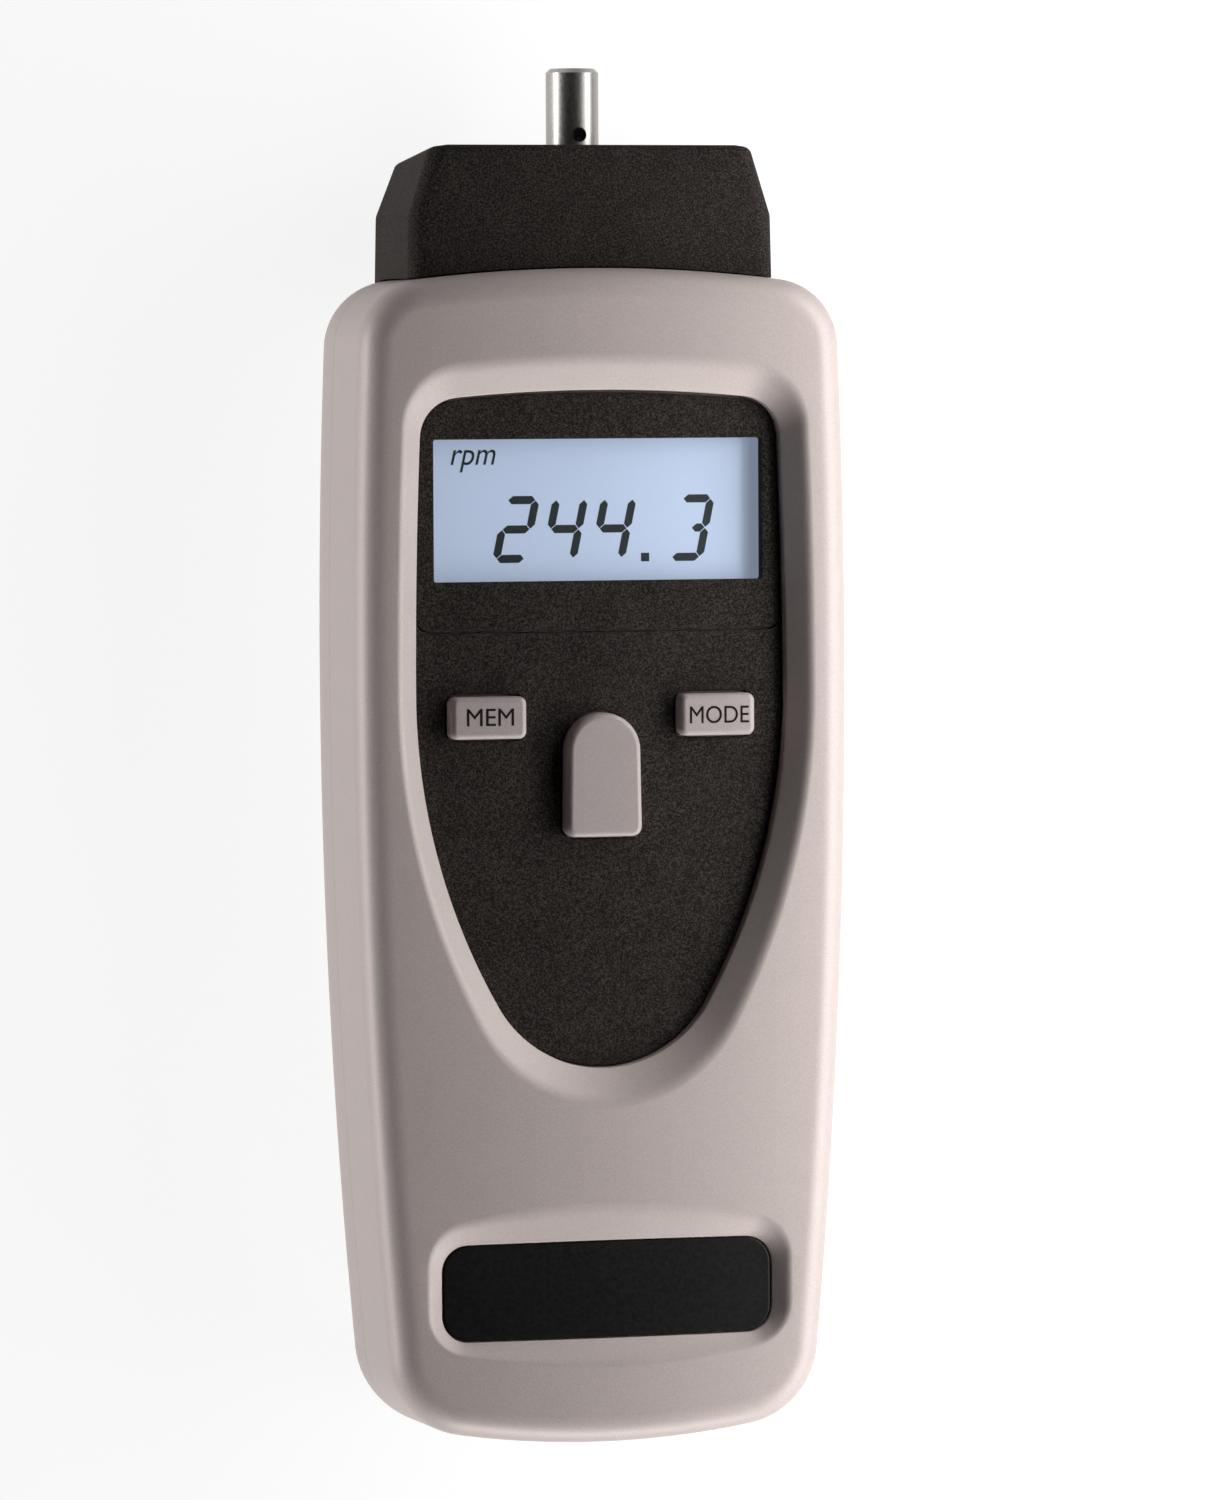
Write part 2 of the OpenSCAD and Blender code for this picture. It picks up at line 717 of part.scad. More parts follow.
module display_bezel() {
    color("dimgray") in_frame() translate([0, 0, seat_z]) linear_extrude(panel_t) difference() {
        intersection() {
            polygon(rim_outline(2 * snug));
            polygon(bezel_frame());
        }
        translate([-view_w / 2, view_y - view_h / 2]) square([view_w, view_h]);
    }
}

module display_window() {
    color("white", 0.4) in_frame() translate([0, view_y, window_z + window_t / 2])
        cube([window_w, window_h, window_t], center = true);
}

module lcd_cell() {
    ledge = strip_w;
    glass_t = lcd_t / 2;
    color("lightsteelblue") in_frame() translate([0, view_y, 0]) {
        translate([0, 0, lcd_top - glass_t / 2]) cube([window_w, window_h, glass_t], center = true);
        translate([0, 0, lcd_z + glass_t / 2]) cube([window_w, window_h - ledge, glass_t], center = true);
    }
}

module lcd_strips() {
    color("hotpink") in_frame()
        for (side = [-1, 1])
            translate([0, view_y + side * (window_h - strip_w) / 2, (strip_z + lcd_z) / 2])
                cube([window_w - 2 * strip_w, strip_w, lcd_z - strip_z], center = true);
}

module label_plate() {
    color("black") in_frame()
        prism(label_outline(), label_z - label_t, label_z);
}

// Buttons and their rubber domes

// Key through the panel: crowned cap, retaining flange and stem
module button(outlines, flange, centre, rise) {
    top = panel_z + rise;
    steps = len(outlines) - 1;
    loft(concat(
        [ring(outlines[0], seat_z - eps)],
        [for (i = [0 : steps]) ring(outlines[i], top - button_round * (1 - sin(90 * i / steps)))]));
    prism(flange, seat_z - flange_t, seat_z);
    post(stem_d, centre, stem_foot_z, seat_z - flange_t / 2);
}

// Insets of the rings that round a button's top
function crown_insets() = [for (i = [0 : 4]) button_round * (1 - cos(22.5 * i))];

module measure_button() {
    color("lightgray") in_frame()
        button([for (d = crown_insets()) main_outline(d)], main_outline(-flange_w), [0, main_y], main_rise);
}

module small_button(side) {
    color("lightgray") in_frame()
        button([for (d = crown_insets()) small_outline(side, d)], small_outline(side, -flange_w),
            [side * small_x, small_y], small_rise);
}

module mem_button() {
    small_button(-1);
}

module mode_button() {
    small_button(1);
}

// Hollow rubber dome that returns a button
module dome(centre) {
    foot_r = dome_d / 2;
    head_r = stem_d / 2;
    lip = 0.4;
    color("darkgray") in_frame() translate([centre.x, centre.y, board_z]) rotate_extrude()
        polygon([[0, dome_h - dome_wall], [head_r - dome_wall, dome_h - dome_wall], [foot_r - dome_wall, 0],
            [foot_r, 0], [foot_r, lip], [head_r, dome_h], [0, dome_h]]);
}

module measure_dome() {
    dome([0, main_y]);
}

module mem_dome() {
    dome([-small_x, small_y]);
}

module mode_dome() {
    dome([small_x, small_y]);
}

// Board, batteries and screws

module circuit_board() {
    color("seagreen") in_frame() difference() {
        prism(rounded_rect(board_w, board_top_y - board_foot_y, wall, [0, (board_top_y + board_foot_y) / 2]),
            board_z - board_t, board_z);
        for (sx = [-1, 1], y = board_screws_y)
            post(small_screw_d + 2 * snug, [sx * board_screw_x, y], board_z - board_t - eps, board_z + eps);
    }
}

// Component package on the underside of the board
module chip(size, at) {
    translate([at.x, at.y, board_z - board_t - size.z / 2]) cube(size, center = true);
}

module board_chips() {
    color("black") in_frame() {
        chip([controller_w, controller_w, chip_t], [0, view_y]);
        for (sx = [-1, 1]) chip([chip_w, chip_w, chip_t], [sx * small_x, small_y]);
        chip([crystal_l, crystal_t, crystal_t], [small_x, seam_y]);
    }
}

module board_screws() {
    head_t = 1.2;
    color("gray") in_frame()
        for (sx = [-1, 1], y = board_screws_y) {
            post(small_screw_d, [sx * board_screw_x, y], board_z - board_t, ceiling_z - eps);
            post(2 * small_screw_d, [sx * board_screw_x, y], board_z - board_t - head_t, board_z - board_t);
        }
}

module housing_screws() {
    color("gray") in_frame()
        for (p = pillars) difference() {
            union() {
                post(screw_d, p, screw_seat_z, part_z + screw_bite);
                post(screw_head_d, p, screw_seat_z - screw_head_t, screw_seat_z);
            }
            for (turn = [0, 90])
                translate([p.x, p.y, screw_seat_z - screw_head_t]) rotate(turn)
                    cube([screw_head_d / 2, screw_head_d / 8, screw_head_t], center = true);
        }
}

// One cell along +Y from its flat end
module cell() {
    rotate([-90, 0, 0]) {
        cylinder(d = cell_d, h = cell_l - tip_l);
        cylinder(d = tip_d, h = cell_l);
    }
}

// Where the left cell's flat end and the right cell's flat end lie
left_cell_y = bay_y + plate_t + spring_l;
right_cell_y = bay_y + bay_l - plate_t - spring_l;

module battery_cells() {
    color("goldenrod") in_frame() {
        translate([-cell_x, left_cell_y, cell_z]) cell();
        translate([cell_x, right_cell_y, cell_z]) rotate([0, 0, 180]) cell();
    }
}

// Conical contact spring along +Y
module contact_spring() {
    turns = 3;
    steps = 14;
    sides = 6;
    wide_r = cell_d * 0.3;
    narrow_r = cell_d * 0.16;
    rise = spring_l - wire_d - 2 * press_gap;
    count = turns * steps;
    loft([for (k = [0 : count])
        let (t = k / count, a = -360 * turns * t, r = wide_r + (narrow_r - wide_r) * t)
        [for (i = [0 : sides - 1]) let (b = 360 * i / sides, q = r + wire_d / 2 * cos(b))
            [q * cos(a), wire_d / 2 + press_gap + rise * t + wire_d / 2 * sin(b), q * sin(a)]]]);
}

module battery_springs() {
    color("silver") in_frame() {
        translate([-cell_x, bay_y + plate_t, cell_z]) contact_spring();
        translate([cell_x, bay_y + bay_l - plate_t, cell_z]) rotate([0, 0, 180]) contact_spring();
    }
}

module battery_plates() {
    size = cell_d * 0.8;
    color("silver") in_frame() {
        translate([0, bay_y + plate_t / 2, cell_z]) cube([2 * cell_x + size, plate_t, size], center = true);
        for (sx = [-1, 1])
            translate([sx * cell_x, bay_y + bay_l - plate_t / 2, cell_z])
                cube([size, plate_t, size], center = true);
    }
}

// Light-beam sensor behind the plug socket

module optic_holder() {
    color("black") in_frame() difference() {
        translate([0, optic_y + optic_l / 2, spindle_z]) cube([optic_w, optic_l, optic_d], center = true);
        for (sx = [-1, 1])
            along_y(diode_d + 4 * press_gap, optic_y - eps, optic_y + optic_l + eps, sx * diode_x);
    }
}

// Round-nosed diode with two short leads
module diode(x) {
    lead_d = 0.5;
    body_l = optic_l - diode_d / 2 - 1;
    along_y(diode_d, optic_y + 0.4, optic_y + body_l, x);
    translate([x, optic_y + body_l, spindle_z]) sphere(d = diode_d - press_gap);
    for (s = [-1, 1]) along_y(lead_d, optic_y - 0.6, optic_y + 1, x + s * diode_d / 4);
}

module emitter_diode() {
    color("red") in_frame() diode(-diode_x);
}

module receiver_diode() {
    color("gray") in_frame() diode(diode_x);
}

module optic_window() {
    color("white", 0.4) in_frame() translate([0, beam_window_y + beam_window_t / 2, spindle_z])
        cube([optic_w - 3, beam_window_t, optic_d - 1], center = true);
}

// Plug-on adapter

// Ring of the hood at height y, drawn in by inset and leaning back
function hood_ring(y, w, inset, slope) =
    [for (p = rounded_rect(adapter_d - 2 * inset, w - 2 * inset, adapter_edge_r, [0, 0], 4))
        [p.y, y - slope * (adapter_d / 2 - p.x), spindle_z + p.x]];

module adapter_housing() {
    steps = 3;
    color("dimgray") in_frame() difference() {
        loft(concat(
            [hood_ring(crest_y - 3, adapter_w, 0, 0), hood_ring(knee_y, adapter_knee_w, 0, 0)],
            [for (i = [0 : steps]) let (a = 90 * i / steps, inset = adapter_top_r * (1 - cos(a)))
                hood_ring(adapter_top_y - adapter_top_r * (1 - sin(a)), adapter_top_w, inset, lean)]));
        back_form(-adapter_gap, housing_d, 9);
        difference() {
            block([-hood_inner_w / 2, crest_y - 2 * plug_l, spindle_z - hood_inner_d / 2],
                [hood_inner_w / 2, hood_roof_y, spindle_z + hood_inner_d / 2]);
            for (sx = [-1, 1])
                along_y(adapter_post_d, bracket_top_y, hood_roof_y + eps, sx * adapter_screw_x);
        }
        along_y(bush_d + 2 * press_gap, hood_roof_y - eps, adapter_top_y + eps);
        for (sx = [-1, 1])
            along_y(adapter_screw_d + 2 * press_gap, bracket_top_y - eps, adapter_screw_top_y + snug,
                sx * adapter_screw_x);
    }
}

module adapter_base() {
    hole_d = adapter_screw_d + 2 * snug;
    color("dimgray") in_frame() difference() {
        union() {
            block([-hood_inner_w / 2 + snug, base_y, spindle_z - hood_inner_d / 2 + snug],
                [hood_inner_w / 2 - snug, base_top_y, spindle_z + hood_inner_d / 2 - snug]);
            block([-plug_w / 2, plug_y, spindle_z - plug_d / 2],
                [plug_w / 2, base_top_y, spindle_z + plug_d / 2]);
            for (sx = [-1, 1]) along_y(adapter_post_d, base_y, bracket_y, sx * adapter_screw_x);
        }
        block([-plug_w / 2 + plug_wall, plug_y - eps, spindle_z - plug_d / 2 + plug_wall],
            [plug_w / 2 - plug_wall, base_y, spindle_z + plug_d / 2 - plug_wall]);
        block([-rotor_d / 2, base_y - eps, spindle_z - plug_d / 2 + plug_wall],
            [rotor_d / 2, base_top_y + eps, spindle_z + plug_d / 2 - plug_wall]);
        for (sx = [-1, 1]) {
            along_y(hole_d, plug_y - eps, bracket_y + eps, sx * adapter_screw_x);
            along_y(adapter_head_d + 2 * snug, plug_y - eps, base_y + adapter_head_t, sx * adapter_screw_x);
        }
    }
}

module bearing_bracket() {
    color("gray") in_frame() difference() {
        block([-hood_inner_w / 2 + slide_gap, bracket_y, spindle_z - hood_inner_d / 2 + slide_gap],
            [hood_inner_w / 2 - slide_gap, bracket_top_y, spindle_z + hood_inner_d / 2 - slide_gap]);
        along_y(bush_d + 2 * press_gap, bracket_y - eps, bracket_top_y + eps);
        for (sx = [-1, 1])
            along_y(adapter_screw_d + 2 * snug, bracket_y - eps, bracket_top_y + eps, sx * adapter_screw_x);
    }
}

// Flanged bush about the spindle
module bush(flange_y, top_y) {
    difference() {
        union() {
            along_y(bush_flange_d, flange_y, flange_y + bush_flange_t);
            along_y(bush_d, flange_y, top_y);
        }
        along_y(spindle_d + 2 * run_gap, flange_y - eps, top_y + eps);
    }
}

module front_bush() {
    color("peru") in_frame() bush(front_flange_y, front_bush_top_y);
}

module rear_bush() {
    color("peru") in_frame() bush(rear_flange_y, bracket_top_y);
}

module spindle() {
    r = spindle_d / 2;
    bed_r = ring_bed_d / 2;
    ring_bed_top = ring_y + ring_t + snug;
    relief_r = r - relief_depth;
    relief_y = adapter_top_y - relief_w;
    color("lightsteelblue") in_frame() difference() {
        translate([0, 0, spindle_z]) rotate([-90, 0, 0]) rotate_extrude()
            polygon([[0, spindle_foot_y], [r, spindle_foot_y], [r, ring_y - snug], [bed_r, ring_y - snug],
                [bed_r, ring_bed_top], [r, ring_bed_top], [r, relief_y], [relief_r, relief_y],
                [relief_r, adapter_top_y], [r, adapter_top_y], [r, spindle_top_y - spindle_chamfer],
                [r - spindle_chamfer, spindle_top_y], [0, spindle_top_y]]);
        translate([0, crest_y + cross_y, spindle_z + r - cross_depth]) cylinder(d = cross_d, h = spindle_d);
    }
}

module rotor_disc() {
    slot_l = (rotor_d - hub_d) / 2;
    slot_w = rotor_d / 6;
    color("white") in_frame() difference() {
        union() {
            along_y(rotor_d, rotor_y, rotor_y + rotor_t);
            along_y(hub_d, rotor_y, hub_top_y);
        }
        along_y(spindle_d + 2 * press_gap, rotor_y - eps, hub_top_y + eps);
        translate([0, rotor_y + rotor_t / 2, spindle_z])
            for (i = [0 : rotor_slots - 1]) rotate([0, 360 * i / rotor_slots, 0])
                translate([rotor_d / 2, 0, 0])
                    cube([2 * slot_l - 2 * snug, 2 * rotor_t, slot_w], center = true);
    }
}

module retaining_ring() {
    outer_d = spindle_d + 2.6;
    mouth = ring_bed_d * 0.6;
    color("gray") in_frame() difference() {
        along_y(outer_d, ring_y, ring_y + ring_t);
        along_y(ring_bed_d + 2 * press_gap, ring_y - eps, ring_y + ring_t + eps);
        block([-mouth / 2, ring_y - eps, spindle_z - outer_d],
            [mouth / 2, ring_y + ring_t + eps, spindle_z]);
    }
}

module adapter_screws() {
    color("gray") in_frame()
        for (sx = [-1, 1]) {
            along_y(adapter_screw_d, base_y + adapter_head_t, adapter_screw_top_y, sx * adapter_screw_x);
            along_y(adapter_head_d, base_y, base_y + adapter_head_t, sx * adapter_screw_x);
        }
}

front_shell();
rear_shell();
display_bezel();
keypad_panel();
display_window();
lcd_cell();
lcd_strips();
label_plate();
measure_button();
mem_button();
mode_button();
measure_dome();
mem_dome();
mode_dome();
circuit_board();
board_chips();
board_screws();
housing_screws();
battery_cells();
battery_springs();
battery_plates();
battery_door();
optic_holder();
emitter_diode();
receiver_diode();
optic_window();
adapter_housing();
adapter_base();
bearing_bracket();
front_bush();
rear_bush();
spindle();
rotor_disc();
retaining_ring();
adapter_screws();
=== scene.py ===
"""Looks of the hand-held tachometer: smooth covers, keys, display and adapter round the fixed frame.

Shapes are worked out in millimetres, with Y counted from the foot of the housing, as on a drawing.
"""

from __future__ import annotations

import json
import logging
import math
from dataclasses import dataclass, replace
from enum import Enum
from itertools import pairwise
from typing import Protocol

import bmesh
import bpy
from bmesh.types import BMEdge, BMFace, BMVert
from mathutils import Matrix, Vector

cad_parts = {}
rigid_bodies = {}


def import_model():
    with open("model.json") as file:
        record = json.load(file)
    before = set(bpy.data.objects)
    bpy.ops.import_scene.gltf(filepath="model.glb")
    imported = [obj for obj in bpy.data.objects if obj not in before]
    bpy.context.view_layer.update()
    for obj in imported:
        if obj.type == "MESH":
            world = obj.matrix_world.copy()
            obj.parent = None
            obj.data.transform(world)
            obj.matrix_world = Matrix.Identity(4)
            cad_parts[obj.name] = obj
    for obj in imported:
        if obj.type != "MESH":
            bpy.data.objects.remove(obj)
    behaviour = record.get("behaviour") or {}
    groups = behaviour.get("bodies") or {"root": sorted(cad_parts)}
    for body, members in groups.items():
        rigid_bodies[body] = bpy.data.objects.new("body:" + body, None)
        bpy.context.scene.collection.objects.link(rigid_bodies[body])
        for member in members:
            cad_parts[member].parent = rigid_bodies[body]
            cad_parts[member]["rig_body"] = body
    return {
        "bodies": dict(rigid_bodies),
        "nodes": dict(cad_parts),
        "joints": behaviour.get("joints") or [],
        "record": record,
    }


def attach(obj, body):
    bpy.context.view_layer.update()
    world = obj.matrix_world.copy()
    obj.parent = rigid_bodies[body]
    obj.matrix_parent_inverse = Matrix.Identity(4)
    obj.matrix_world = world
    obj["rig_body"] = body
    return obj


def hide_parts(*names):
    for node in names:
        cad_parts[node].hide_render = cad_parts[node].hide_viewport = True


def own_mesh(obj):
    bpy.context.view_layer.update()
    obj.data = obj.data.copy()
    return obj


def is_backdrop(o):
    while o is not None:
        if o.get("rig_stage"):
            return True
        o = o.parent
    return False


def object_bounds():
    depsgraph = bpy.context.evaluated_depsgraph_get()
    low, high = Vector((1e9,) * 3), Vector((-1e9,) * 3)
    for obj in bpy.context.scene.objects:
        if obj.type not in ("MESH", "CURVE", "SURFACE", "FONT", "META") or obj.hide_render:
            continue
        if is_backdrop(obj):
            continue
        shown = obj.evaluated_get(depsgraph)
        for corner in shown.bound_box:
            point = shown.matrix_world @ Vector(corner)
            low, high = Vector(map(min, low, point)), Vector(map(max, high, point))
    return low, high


LOG = logging.getLogger("tachometer")
MM = 0.001
MERGE = 0.0005
SHARPEST = 0.8
SMOOTH_ANGLE = math.radians(32)
ROUND_SIDES = 64
LATHE_STEPS = 96
STRAIGHT_STEPS = 4
CORNER_STEPS = 8
SLOPE_CUTS = 11
RIM_STEPS = 3
SOFT_BEND = 0.3
APART = 1.0
OVERCUT = 0.5
SNUG = 0.15
INK = 0.02


def of_kind(items: list, kind: type) -> list:
    """Returns the vertices or the edges among the results of an operator."""
    return [item for item in items if isinstance(item, kind)]


def ends_of(edges: list[BMEdge]) -> list[BMVert]:
    """Returns the vertices at the ends of edges, each of them once."""
    return list({end for edge in edges for end in edge.verts})


def put_in_scene(name: str, data: bpy.types.ID) -> bpy.types.Object:
    """Puts a mesh, text, lamp or camera into the scene.

    Args:
        name: Name of the object.
        data: What the object shows.

    Returns:
        The object.
    """
    item = bpy.data.objects.new(name, data)
    bpy.context.scene.collection.objects.link(item)
    return item


def final_mesh(item: bpy.types.Object) -> bpy.types.Mesh:
    """Returns a copy of an object's mesh, as its modifiers leave it."""
    return bpy.data.meshes.new_from_object(item.evaluated_get(bpy.context.evaluated_depsgraph_get()))


def bearing(run: Vector) -> float:
    """Angle of a direction in the drawing plane."""
    return math.atan2(run.y, run.x)


def touching(
    first: Vector, first_r: float, second: Vector, second_r: float, r: float, side: int
) -> Vector:
    """Finds the centre of a circle that touches two larger circles from inside.

    Args:
        first: Centre of the first circle.
        first_r: Its radius.
        second: Centre of the second circle.
        second_r: Its radius.
        r: Radius of the circle that is wanted.
        side: 1 or -1, for the solution to the left or right of the line between the centres.

    Returns:
        The centre of the touching circle.
    """
    a, b, gap = first_r - r, second_r - r, (second - first).length
    along = (second - first) / gap
    reach = (a * a - b * b + gap * gap) / (2 * gap)
    across = Vector((-along.y, along.x))
    return first + along * reach + across * side * math.sqrt(a * a - reach * reach)


@dataclass(frozen=True)
class Arc:
    """Round stretch of an outline: its centre, its sweep in radians and its number of edges."""

    centre: Vector
    sweep: float
    steps: int

    def draw(self, mesh: bmesh.types.BMesh, tip: list[BMVert], z: float) -> list[BMVert]:
        """Spins the outline's tip round the centre.

        Args:
            mesh: Mesh that takes the edges.
            tip: The outline's last point.
            z: Level of the drawing plane.

        Returns:
            The new last point.
        """
        spun = bmesh.ops.spin(
            mesh, geom=tip, cent=(*self.centre, z), axis=(0, 0, 1), angle=self.sweep, steps=self.steps
        )
        return of_kind(spun["geom_last"], BMVert)


@dataclass(frozen=True)
class Line:
    """Straight stretch of an outline, as a run from its start, and its number of edges."""

    run: Vector
    steps: int = 1

    def draw(self, mesh: bmesh.types.BMesh, tip: list[BMVert], z: float) -> list[BMVert]:
        """Draws the outline's tip out along the run.

        Args:
            mesh: Mesh that takes the edges.
            tip: The outline's last point.
            z: Level of the drawing plane, which a straight run keeps; not used.

        Returns:
            The new last point.
        """
        for _ in range(self.steps):
            tip = bmesh.ops.extrude_vert_indiv(mesh, verts=tip)["verts"]
            bmesh.ops.translate(mesh, vec=(*(self.run / self.steps), 0), verts=tip)
        return tip


@dataclass(frozen=True)
class HalfOutline:
    """Right half of a symmetric outline, from its lowest point up to its crest."""

    foot: float
    stretches: tuple[Arc | Line, ...]


class Shape(Protocol):
    """Anything with an outline that can be drawn in or out."""

    def outline(self, inset: float = 0.0) -> HalfOutline:
        """Returns the right half of the outline, drawn in by an inset."""


@dataclass(frozen=True)
class Bowed:
    """Bowed rectangle: curved foot, corner, long curved side, corner and curved top."""

    half: float
    widest: float
    side_r: float
    foot: float
    foot_r: float
    foot_corner: float
    top: float
    top_r: float
    top_corner: float
    steps: int = 14
    side_steps: int = 36

    def outline(self, inset: float = 0.0) -> HalfOutline:
        """Draws the shape in by an inset.

        Args:
            inset: Distance from the full outline, inwards.

        Returns:
            The right half of the outline.
        """
        side = Vector((self.half - self.side_r, self.widest))
        base = Vector((0, self.foot + self.foot_r))
        crest = Vector((0, self.top - self.top_r))
        lower_r = max(self.foot_corner - inset, SHARPEST)
        upper_r = max(self.top_corner - inset, SHARPEST)
        lower = touching(side, self.side_r - inset, base, self.foot_r - inset, lower_r, -1)
        upper = touching(side, self.side_r - inset, crest, self.top_r - inset, upper_r, 1)
        foot_end, side_start = bearing(lower - base), bearing(lower - side)
        side_end, top_start = bearing(upper - side), bearing(upper - crest)
        return HalfOutline(
            self.foot + inset,
            (
                Arc(base, foot_end + math.pi / 2, self.steps),
                Arc(lower, side_start - foot_end, self.steps),
                Arc(side, side_end - side_start, self.side_steps),
                Arc(upper, top_start - side_end, self.steps),
                Arc(crest, math.pi / 2 - top_start, self.steps),
            ),
        )


@dataclass(frozen=True)
class Tongue:
    """Tongue of the display pod: round tip, two bowed sides, corner and curved top."""

    half: float = 22.6
    foot: float = 44.0
    top: float = 123.3
    tip_r: float = 14.8
    corner_r: float = 4.8
    widest: float = 88.0
    side_r: float = 700.0
    top_r: float = 185.0
    tip_steps: int = 20
    lower_steps: int = 24
    side_steps: int = 12
    top_steps: int = 14

    def grown(self, side: float, foot: float, top: float) -> Tongue:
        """Makes the tongue larger all round.

        Args:
            side: Growth at each side, and of the tip's and corners' radius.
            foot: Growth at the foot.
            top: Growth at the top.

        Returns:
            The larger tongue.
        """
        return replace(
            self,
            half=self.half + side,
            foot=self.foot - foot,
            top=self.top + top,
            tip_r=self.tip_r + side,
            corner_r=self.corner_r + side,
        )

    @property
    def upper(self) -> Vector:
        """Centre of the long curve of the upper sides."""
        return Vector((self.half - self.side_r, self.widest))

    def lower_half(self) -> tuple[Arc, Arc]:
        """Works out the tongue below its widest point.

        Returns:
            The tip and the lower side.
        """
        rise = self.widest - self.foot - self.tip_r
        lower_r = (self.half**2 + rise**2 - self.tip_r**2) / (2 * (self.half - self.tip_r))
        tip = Vector((0, self.foot + self.tip_r))
        lower = Vector((self.half - lower_r, self.widest))
        joint = bearing(tip - lower)
        return Arc(tip, joint + math.pi / 2, self.tip_steps), Arc(lower, -joint, self.lower_steps)

    def crown(self) -> tuple[float, Arc, Arc]:
        """Works out the upper end of the tongue.

        Returns:
            The angle where the upper side ends, the corner and the curved top.
        """
        crest = Vector((0, self.top - self.top_r))
        corner = touching(self.upper, self.side_r, crest, self.top_r, self.corner_r, 1)
        side_end, top_start = bearing(corner - self.upper), bearing(corner - crest)
        bend = Arc(corner, top_start - side_end, self.side_steps)
        return side_end, bend, Arc(crest, math.pi / 2 - top_start, self.top_steps)

    def outline(self, inset: float = 0.0) -> HalfOutline:
        """Draws the whole tongue in by an inset.

        Args:
            inset: Distance from the full outline, inwards.

        Returns:
            The right half of the outline.
        """
        inner = self.grown(-inset, -inset, -inset)
        side_end, corner, crest = inner.crown()
        side = Arc(inner.upper, side_end, self.side_steps)
        return HalfOutline(inner.foot, (*inner.lower_half(), side, corner, crest))

    def seam(self, y: float, r: float) -> tuple[Vector, float, float]:
        """Finds where a seam with rounded ends leaves the tongue's sides.

        Args:
            y: Height of the seam.
            r: Radius of its ends, which curve up towards the sides.

        Returns:
            The centre of the right end's curve, and the angles of the leaving point on the side and
            on the end.
        """
        centre = Vector((self.half - r, y + r))
        leave = touching(self.upper, self.side_r, centre, r, 0, -1)
        return centre, bearing(leave - self.upper), bearing(leave - centre)


@dataclass(frozen=True)
class Keypad:
    """Lower part of the tongue, whose ears reach up beside the bezel."""

    tongue: Tongue
    seam_y: float
    corner_r: float
    ear_steps: int = 6

    def outline(self, inset: float = 0.0) -> HalfOutline:
        """Draws the keypad in by an inset.

        Args:
            inset: Distance from the full outline, inwards.

        Returns:
            The right half of the outline.
        """
        inner = self.tongue.grown(-inset, -inset, -inset)
        end, side, leave = inner.seam(self.seam_y - inset, self.corner_r)
        return HalfOutline(
            inner.foot,
            (
                *inner.lower_half(),
                Arc(inner.upper, side, self.ear_steps),
                Arc(end, -math.pi / 2 - leave, CORNER_STEPS),
                Line(Vector((-end.x, 0)), STRAIGHT_STEPS),
            ),
        )


@dataclass(frozen=True)
class Bezel:
    """Upper part of the tongue, with rounded lower corners."""

    tongue: Tongue
    seam_y: float
    corner_r: float
    side_steps: int = 10

    def outline(self, inset: float = 0.0) -> HalfOutline:
        """Draws the bezel in by an inset.

        Args:
            inset: Distance from the full outline, inwards.

        Returns:
            The right half of the outline.
        """
        inner = self.tongue.grown(-inset, -inset, -inset)
        end, side, leave = inner.seam(self.seam_y + inset, self.corner_r)
        side_end, corner, crest = inner.crown()
        return HalfOutline(
            self.seam_y + inset,
            (
                Line(Vector((end.x, 0)), STRAIGHT_STEPS),
                Arc(end, leave + math.pi / 2, CORNER_STEPS),
                Arc(inner.upper, side_end - side, self.side_steps),
                corner,
                crest,
            ),
        )


@dataclass(frozen=True)
class Rounded:
    """Rectangle with rounded corners."""

    half: float
    foot: float
    top: float
    r: float

    def outline(self, inset: float = 0.0) -> HalfOutline:
        """Draws the rectangle in by an inset.

        Args:
            inset: Distance from the full outline, inwards.

        Returns:
            The right half of the outline.
        """
        half, foot, top, r = self.half - inset, self.foot + inset, self.top - inset, self.r - inset
        flat = Vector((half - r, 0))
        return HalfOutline(
            foot,
            (
                Line(flat, STRAIGHT_STEPS),
                Arc(Vector((half - r, foot + r)), math.pi / 2, CORNER_STEPS),
                Line(Vector((0, top - foot - 2 * r)), STRAIGHT_STEPS),
                Arc(Vector((half - r, top - r)), math.pi / 2, CORNER_STEPS),
                Line(-flat, STRAIGHT_STEPS),
            ),
        )


@dataclass(frozen=True)
class Arch:
    """Measuring key: straight foot, slightly tapered sides and an arched top."""

    half: float
    neck: float
    foot: float
    top: float
    r: float
    side_steps: int = 8
    arch_steps: int = 24

    def outline(self, inset: float = 0.0) -> HalfOutline:
        """Draws the key in by an inset.

        Args:
            inset: Distance from the full outline, inwards.

        Returns:
            The right half of the outline.
        """
        half, neck, foot, r = self.half - inset, self.neck - inset, self.foot + inset, self.r - inset
        spring = self.top - self.neck
        return HalfOutline(
            foot,
            (
                Line(Vector((half - r, 0)), STRAIGHT_STEPS),
                Arc(Vector((half - r, foot + r)), math.pi / 2, CORNER_STEPS),
                Line(Vector((neck - half, spring - foot - r)), self.side_steps),
                Arc(Vector((0, spring)), math.pi / 2, self.arch_steps),
            ),
        )


@dataclass(frozen=True)
class Offset:
    """Shape drawn in from another one."""

    shape: Shape
    by: float

    def outline(self, inset: float = 0.0) -> HalfOutline:
        """Returns the right half of the outline, drawn in further by an inset."""
        return self.shape.outline(self.by + inset)


@dataclass(frozen=True)
class Levels:
    """Heights of a sloped recess, the share of its slope that is rounded and the rounding of its rim."""

    face: float
    throat: float
    floor: float
    soft: float
    rim_round: float


class Joining(Enum):
    """How one workpiece acts on another."""

    CUT = "DIFFERENCE"
    ADD = "UNION"
    KEEP = "INTERSECT"


